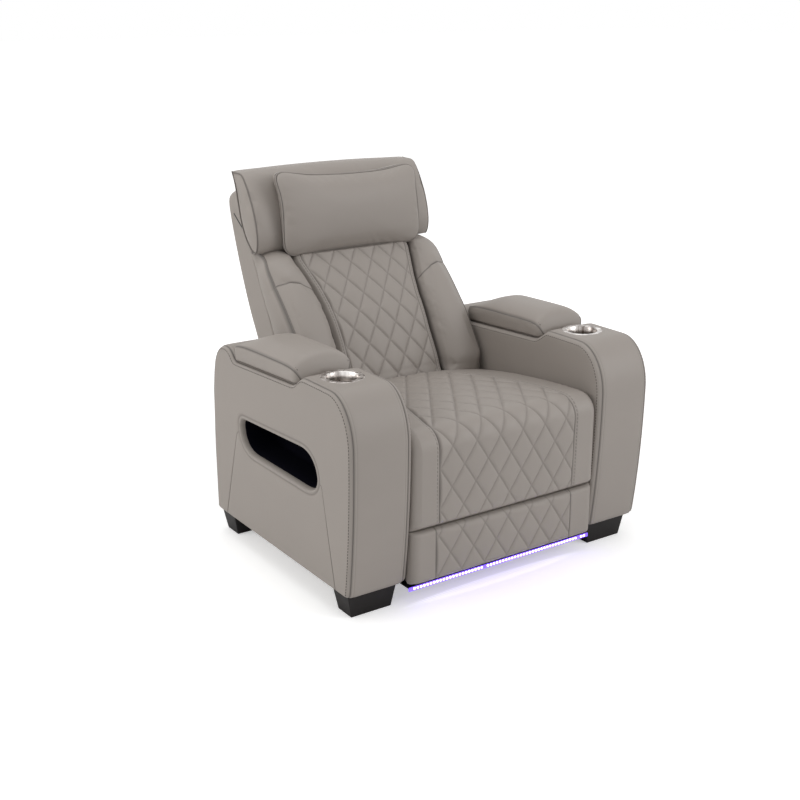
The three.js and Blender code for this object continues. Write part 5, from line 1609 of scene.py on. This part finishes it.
for side, rings in zip(SIDES, lid_rings):
    arm_stitches(side)
    lid_stitches(side, rings)

# %% [markdown]
# ## Swelling
#
# The stitches lie in their places, so now the plain cushions can be filled out. The pillow's lower end
# stays as it is, because the tilted headrest brings it close to the back.

# %% Swell the plain cushions
PILLOW_FOOT, PILLOW_FREE = 0.79, 0.84
above_foot = ease(mesh_points(pillow.data)[:, 2], PILLOW_FOOT, PILLOW_FREE)
swell(pillow, away_from_seams(pillow) * above_foot, 0.0035)
swell(head, away_from_seams(head), 0.003)
for cover in lid_covers:
    swell(cover, away_from_seams(cover), 0.0025)
for cover in side_covers:
    swell(cover, away_from_seams(cover), 0.003)
print("plain cushions", 2 + len(lid_covers) + len(side_covers))

# %% [markdown]
# ## Cup holders
#
# Each arm has a steel cup set into its top. A cup is round, so its wall is drawn as a half section and
# turned about its own middle: a flat rim with a rolled edge, a straight wall, and a dished floor.


# %% Cup holders
def lathe(profile, middle, sides=96):
    """A half section of (radius, height) turned about a vertical line through middle."""
    turn = np.linspace(0, 2 * math.pi, sides, endpoint=False)
    points = [(middle[0] + r * math.cos(t), middle[1] + r * math.sin(t), z) for r, z in profile for t in turn]
    return np.array(points), grid_faces(len(profile), sides, closed=True)


CUP_RIM, CUP_INSIDE, CUP_DEPTH = 56.0, 42.0, 76


def cup_holder(side):
    top = ARM_TOP + 0.4
    floor_z = ARM_TOP - CUP_DEPTH
    # From under the floor, up the outside, over the rolled rim, and down the inside to the dished floor
    outside = [(0.6, floor_z - 1.6), (36, floor_z - 1.6), (43.6, floor_z + 5), (43.6, top - 1), (54.0, top)]
    rim = [(CUP_RIM + 1.6 * math.cos(a), top + 1.5 + 1.6 * math.sin(a))
           for a in np.radians(np.linspace(-90, 110, 10))]
    flat = [(53.5, top + 2.9), (48.5, top + 2.9)]
    inner = [(45.6 - 1.8 * math.sin(a), top + 1.8 + 0.8 * math.cos(a))
             for a in np.radians(np.linspace(0, 90, 5))]
    wall = [(CUP_INSIDE, z) for z in (top, floor_z + 60, floor_z + 30, floor_z + 9)]
    dish = [(41.2, floor_z + 4.5), (38.5, floor_z + 1.6), (34.0, floor_z + 0.4), (20.0, floor_z),
            (0.6, floor_z)]
    points, faces = lathe(outside + rim + flat + inner + wall + dish, (side * CUP_X, CUP_Y))
    name = SIDE_NAMES[side]
    piece = new_solid("cup_steel_" + name, points, faces, "base", cup_steel)
    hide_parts("cup_holder_" + name)
    print(piece.name, len(points), "points")


for side in SIDES:
    cup_holder(side)

# %% [markdown]
# ## Side pocket
#
# The slot in the outer side opens into a black pocket for magazines. It is a thin-walled box in the
# slot's shape: an inner skin, a floor, and an outer skin. Its lining is darker than black cloth, as painted
# shade.


# %% Pocket lining
POCKET_FRONT, POCKET_BACK, POCKET_WALL = ARM_OUTER - 15.0, ARM_OUTER - 105.0, 3.0


def pocket(side):
    line = resample(window, 4.0, closed=True)
    normals, middle = outward(line), line.mean(0)
    # Up the outer skin, over the rounded mouth, and down the inner skin to the floor
    skins = [(line - normals * inward, x) for inward, x in (
        (0.4, POCKET_BACK), (0.4, POCKET_FRONT - 1), (0.9, POCKET_FRONT), (1.7, POCKET_FRONT + 0.4),
        (2.6, POCKET_FRONT), (3.0, POCKET_FRONT - 1), (3.4, POCKET_FRONT - 40), (3.4, POCKET_BACK + 12),
        (5.0, POCKET_BACK + 5.5), (9.0, POCKET_BACK + POCKET_WALL))]
    first, last = skins[0][0], skins[-1][0]
    back = [(first * (1 - t) + middle * t, POCKET_BACK) for t in (0.97, 0.5)]
    ground = [(last * (1 - t) + middle * t, POCKET_BACK + POCKET_WALL) for t in (0.35, 0.7, 0.97)]
    rings = [place_at(side * x, ring) for ring, x in back + skins + ground]
    faces = closed_faces(len(rings), len(line))
    name = SIDE_NAMES[side]
    piece = new_solid("pocket_lining_shaded_" + name, np.concatenate(rings), faces, "base", pocket_lining_shaded)
    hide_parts("side_pocket_" + name)
    print(piece.name, len(rings), "rings")


for side in SIDES:
    pocket(side)

# %% [markdown]
# ## Feet
#
# Four tapered wooden blocks stand under the arms. A block with sharp edges looks like a drawing, so
# every edge is bevelled a little, and light catches it.


# %% Feet
TAPER_X, TAPER_Y = 14.0, 7.0


def foot(node):
    low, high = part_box(node)
    x0, x1, y0, y1, top = (v / MM for v in (low.x, high.x, low.y, high.y, high.z))
    middle_x, middle_y = (x0 + x1) / 2, (y0 + y1) / 2
    corners = [(x0, y0), (x1, y0), (x1, y1), (x0, y1)]
    lower = [(x - math.copysign(TAPER_X, x - middle_x), y - math.copysign(TAPER_Y, y - middle_y))
             for x, y in corners]
    mesh = bmesh.new()
    verts = [mesh.verts.new(Vector((x, y, 0)) * MM) for x, y in lower]
    verts += [mesh.verts.new(Vector((x, y, top)) * MM) for x, y in corners]
    mesh.faces.new(verts[:4][::-1])
    mesh.faces.new(verts[4:])
    for k in range(4):
        mesh.faces.new((verts[k], verts[(k + 1) % 4], verts[4 + (k + 1) % 4], verts[4 + k]))
    bmesh.ops.bevel(mesh, geom=mesh.edges[:], offset=0.0022, segments=3, profile=0.6, affect="EDGES")
    data = bpy.data.meshes.new(node + "_block")
    mesh.to_mesh(data)
    mesh.free()
    data.shade_smooth()
    data.materials.append(foot_finish)
    piece = bpy.data.objects.new(node + "_block", data)
    bpy.context.scene.collection.objects.link(piece)
    # The flat faces keep their own direction, and only the bevels shade softly
    weighted = piece.modifiers.new("flat faces", "WEIGHTED_NORMAL")
    weighted.keep_sharp = False
    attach(piece, "base")
    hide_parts(node)
    print(piece.name, "tapers by", TAPER_X, "and", TAPER_Y, "mm")


for end in ("front", "rear"):
    for name in SIDE_NAMES.values():
        foot(f"foot_{end}_{name}")

# %% [markdown]
# ## Rear cover
#
# Below the back, a board covered with leather closes the rear between the arms. The power inlet looks
# out through a round hole in it. The cover is a grid with rounded edges. Its points near the hole are
# drawn to a circle, the faces inside are left out, and the sheet is given the board's thickness.


# %% Rear cover
def rear_cover(hole_radius=11.5, plate_half=24.0, hem=13.0, step=3.5, board_thickness=0.008):
    low, high = (np.array(corner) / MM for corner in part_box("rear_cover"))
    inlet_low, inlet_high = (np.array(corner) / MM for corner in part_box("power_inlet"))
    hole = ((inlet_low + inlet_high) / 2)[[0, 2]]
    edge = np.array([0.4, 0.9, 1.8, 3.2, 5.0])
    across = np.r_[low[0] + edge, np.arange(low[0] + 8, high[0] - 7, step), (high[0] - edge)[::-1]]
    up = np.r_[low[2] + edge, np.arange(low[2] + 8, high[2] - 7, step), (high[2] - edge)[::-1]]
    x, z = np.meshgrid(across, up)
    from_edge = np.minimum.reduce([x - low[0], high[0] - x, z - low[2], high[2] - z])
    drop = 4.5 * (1 - np.sqrt(1 - np.clip(1 - from_edge / 6, 0, 1) ** 2))
    sewn = bell(from_edge - hem, 1.8)
    away = np.stack([x - hole[0], z - hole[1]], -1)
    far = np.linalg.norm(away, axis=-1)
    clear = ease(np.max(abs(away), -1), plate_half, plate_half + 40)
    y = high[1] - 0.5 - drop - 1.0 * sewn + 1.6 * clear * ease(from_edge, hem + 2, hem + 40)
    drawn = (far < hole_radius + 3.6) & (far >= hole_radius - 2)
    circle = away / np.maximum(far, 1e-6)[..., None] * hole_radius + hole
    x, z = np.where(drawn, circle[..., 0], x), np.where(drawn, circle[..., 1], z)
    inside = (far < hole_radius - 2).ravel()
    points = np.stack([x, y, z], -1).reshape(-1, 3)
    faces = [face for face in grid_faces(*far.shape, flip=True) if not inside[list(face)].any()]
    # Painted shade along the hem's seam
    piece = new_piece("rear_cover_panel", points, faces, "base", leather, 0.7 * sewn.ravel())
    drop_loose_points(piece)
    board = piece.modifiers.new("board", "SOLIDIFY")
    board.thickness, board.offset = board_thickness, -1.0
    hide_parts("rear_cover")
    print(piece.name, len(piece.data.vertices), "points")


rear_cover()

# %% [markdown]
# ## Light strip
#
# A strip of small lamps under the footrest throws a violet-blue glow on the floor. The strip is a clear
# ribbon with a bead of light about every centimetre, and a few beads are missing where its lengths
# meet. The beads glow themselves. Their haze and their reflections on the floor are painted light in the
# floor's finish.

# %% Finishes of the light strip
ribbon = bpy.data.materials.new("light ribbon")
ribbon.use_nodes = True
nodes, links = ribbon.node_tree.nodes, ribbon.node_tree.links
shader = nodes["Principled BSDF"]
mottle = nodes.new("ShaderNodeTexNoise")
mottle.inputs["Scale"].default_value = 30.0
where = nodes.new("ShaderNodeTexCoord")
links.new(where.outputs["Object"], mottle.inputs["Vector"])
tint = nodes.new("ShaderNodeMix")
tint.data_type = "RGBA"
tint.inputs["A"].default_value = (0.13, 0.05, 1.0, 1)
tint.inputs["B"].default_value = (0.25, 0.12, 1.0, 1)
links.new(mottle.outputs["Fac"], tint.inputs["Factor"])
links.new(tint.outputs["Result"], shader.inputs["Emission Color"])
shader.inputs["Emission Strength"].default_value = 1.2
shader.inputs["Base Color"].default_value = (0.2, 0.15, 0.6, 1)
shader.inputs["Roughness"].default_value = 0.3
lamp_bead = ribbon.copy()
lamp_bead.name = "lamp bead"
bead_nodes = lamp_bead.node_tree.nodes
bead_nodes["Mix"].inputs["A"].default_value = (0.42, 0.34, 1.0, 1)
bead_nodes["Mix"].inputs["B"].default_value = (0.5, 0.42, 1.0, 1)
bead_nodes["Principled BSDF"].inputs["Emission Strength"].default_value = 9.0
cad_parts["light_strip"].material_slots[0].material = ribbon
print("light finishes", ribbon.name, "and", lamp_bead.name)

# %% Beads of light
BEAD_PITCH, BEAD_HIGH, BEAD_WIDE = 10.5, 3.0, 1.6
STRIP_JOINS = (-300.0, -63.0, 270.0)
# Along a bead, and how thick it is there
BEAD_STATIONS = ((-2.8, 0.45), (-2.2, 0.9), (0, 1.0), (2.2, 0.9), (2.8, 0.45))
strip_low, strip_high = (np.array(corner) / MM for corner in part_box("light_strip"))
turn = np.linspace(0, 2 * math.pi, 8, endpoint=False)
bead_round = np.stack([BEAD_WIDE * np.cos(turn), BEAD_HIGH * np.sin(turn)], 1)
beads = []
for x in np.arange(strip_low[0] + 6, strip_high[0] - 6, BEAD_PITCH):
    if min(abs(x - join) for join in STRIP_JOINS) < 6:
        continue
    centre = np.array([x, strip_low[1] - 0.6, strip_high[2] - 4.0])
    rings = [centre + place_at(along, thick * bead_round) for along, thick in BEAD_STATIONS]
    beads.append((np.concatenate(rings), closed_faces(len(BEAD_STATIONS), len(turn))))
points, faces = join_meshes(beads)
new_solid("light_beads", points, faces, "base", lamp_bead)
print("beads", len(beads))

# %% [markdown]
# ## Floor
#
# The floor is a white sheet under the seat. To the camera it gives out a little white of its own, so
# that it fades into the white behind it, while the seat's shadow on it stays. A painted violet glow
# before the light strip, and a painted pale reflection under each bead, are added to that white.
#
# The shadow and the white are two shaders that are added, and the second is seen by the camera alone.

# %% Floor
FLOOR_HALF = 40
floor_mesh = bpy.data.meshes.new("floor")
floor_corners = [(-FLOOR_HALF, -FLOOR_HALF, 0), (FLOOR_HALF, -FLOOR_HALF, 0), (FLOOR_HALF, FLOOR_HALF, 0),
                 (-FLOOR_HALF, FLOOR_HALF, 0)]
floor_mesh.from_pydata(floor_corners, [], [(0, 1, 2, 3)])
floor = bpy.data.objects.new("floor", floor_mesh)
bpy.context.scene.collection.objects.link(floor)
floor_finish = bpy.data.materials.new("floor")
floor_finish.use_nodes = True
tree = floor_finish.node_tree
nodes, links = tree.nodes, tree.links
shader = nodes["Principled BSDF"]
shader.inputs["Base Color"].default_value = (0.93, 0.93, 0.93, 1)
shader.inputs["Roughness"].default_value = 0.9
shader.inputs["Specular IOR Level"].default_value = 0.0
where = nodes.new("ShaderNodeTexCoord").outputs["Object"]


def vector_sum(operation, vector, other=None):
    """A node that does one sum with a vector, here a place on the floor."""
    node = nodes.new("ShaderNodeVectorMath")
    node.operation = operation
    links.new(vector, node.inputs[0])
    if other is not None:
        node.inputs[1].default_value = other
    return node.outputs["Value" if operation == "LENGTH" else "Vector"]


def smooth_range(value, from_min, from_max, to_min, to_max):
    """Turns one range of values into another, with a soft start and end."""
    node = nodes.new("ShaderNodeMapRange")
    node.interpolation_type = "SMOOTHSTEP"
    node.inputs["From Min"].default_value = from_min
    node.inputs["From Max"].default_value = from_max
    node.inputs["To Min"].default_value = to_min
    node.inputs["To Max"].default_value = to_max
    links.new(value, node.inputs["Value"])
    return node.outputs["Result"]


def floor_patch(middle, reach, full=0.1):
    """A mask that is 1 at the middle of an oval patch of floor, and fades to 0 at its reach."""
    place = vector_sum("DIVIDE", vector_sum("SUBTRACT", where, middle), reach)
    return smooth_range(vector_sum("LENGTH", place), full, 1.0, 1.0, 0.0)


# Masks for light painted on the floor: a violet glow before the strip, and the beads' reflections under it
painted_violet_glow = floor_patch((0.0, -0.52, 0.0), (0.47, 0.2, 1.0))
painted_reflection_mask = floor_patch((-0.015, -0.493, 0.0), (0.34, 0.026, 1.0), 0.6)
print("floor", 2 * FLOOR_HALF, "m wide")

# %% The floor's white, its painted glow and its painted reflections
painted_bead_stripes = nodes.new("ShaderNodeTexWave")
painted_bead_stripes.wave_type = "BANDS"
painted_bead_stripes.bands_direction = "X"
# A wave of this kind repeats every 2 pi / 20 of a metre at scale 1
painted_bead_stripes.inputs["Scale"].default_value = 2 * math.pi / (20 * BEAD_PITCH * MM)
links.new(where, painted_bead_stripes.inputs["Vector"])
# Painted reflections of the beads, as pale stripes under the strip
painted_bead_reflections = maths(tree, "MULTIPLY", painted_bead_stripes.outputs["Fac"], painted_reflection_mask)
far_white = smooth_range(vector_sum("LENGTH", where), 0.6, 3.2, 0.42, 0.62)
# The painted violet glow is added to the even white, and it tints that white violet
white_with_painted_glow = maths(tree, "MULTIPLY_ADD", painted_violet_glow, 0.1, far_white)
tint = nodes.new("ShaderNodeMix")
tint.data_type = "RGBA"
tint.inputs["A"].default_value = (1, 1, 1, 1)
tint.inputs["B"].default_value = (0.79, 0.73, 1.0, 1)
links.new(painted_violet_glow, tint.inputs["Factor"])
glow = nodes.new("ShaderNodeEmission")
links.new(tint.outputs["Result"], glow.inputs["Color"])
links.new(maths(tree, "MULTIPLY_ADD", painted_bead_reflections, 0.45, white_with_painted_glow), glow.inputs["Strength"])
dark = nodes.new("ShaderNodeEmission")
dark.inputs["Strength"].default_value = 0.0
pick = nodes.new("ShaderNodeMixShader")
links.new(nodes.new("ShaderNodeLightPath").outputs["Is Camera Ray"], pick.inputs["Fac"])
links.new(dark.outputs[0], pick.inputs[1])
links.new(glow.outputs[0], pick.inputs[2])
both = nodes.new("ShaderNodeAddShader")
links.new(shader.outputs[0], both.inputs[0])
links.new(pick.outputs[0], both.inputs[1])
links.new(both.outputs[0], nodes["Material Output"].inputs["Surface"])
floor_mesh.materials.append(floor_finish)
floor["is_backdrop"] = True
print("floor finish nodes", len(nodes))

# %% The visual box
low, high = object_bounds()
print("visual box", [round(v, 3) for v in low], [round(v, 3) for v in high])
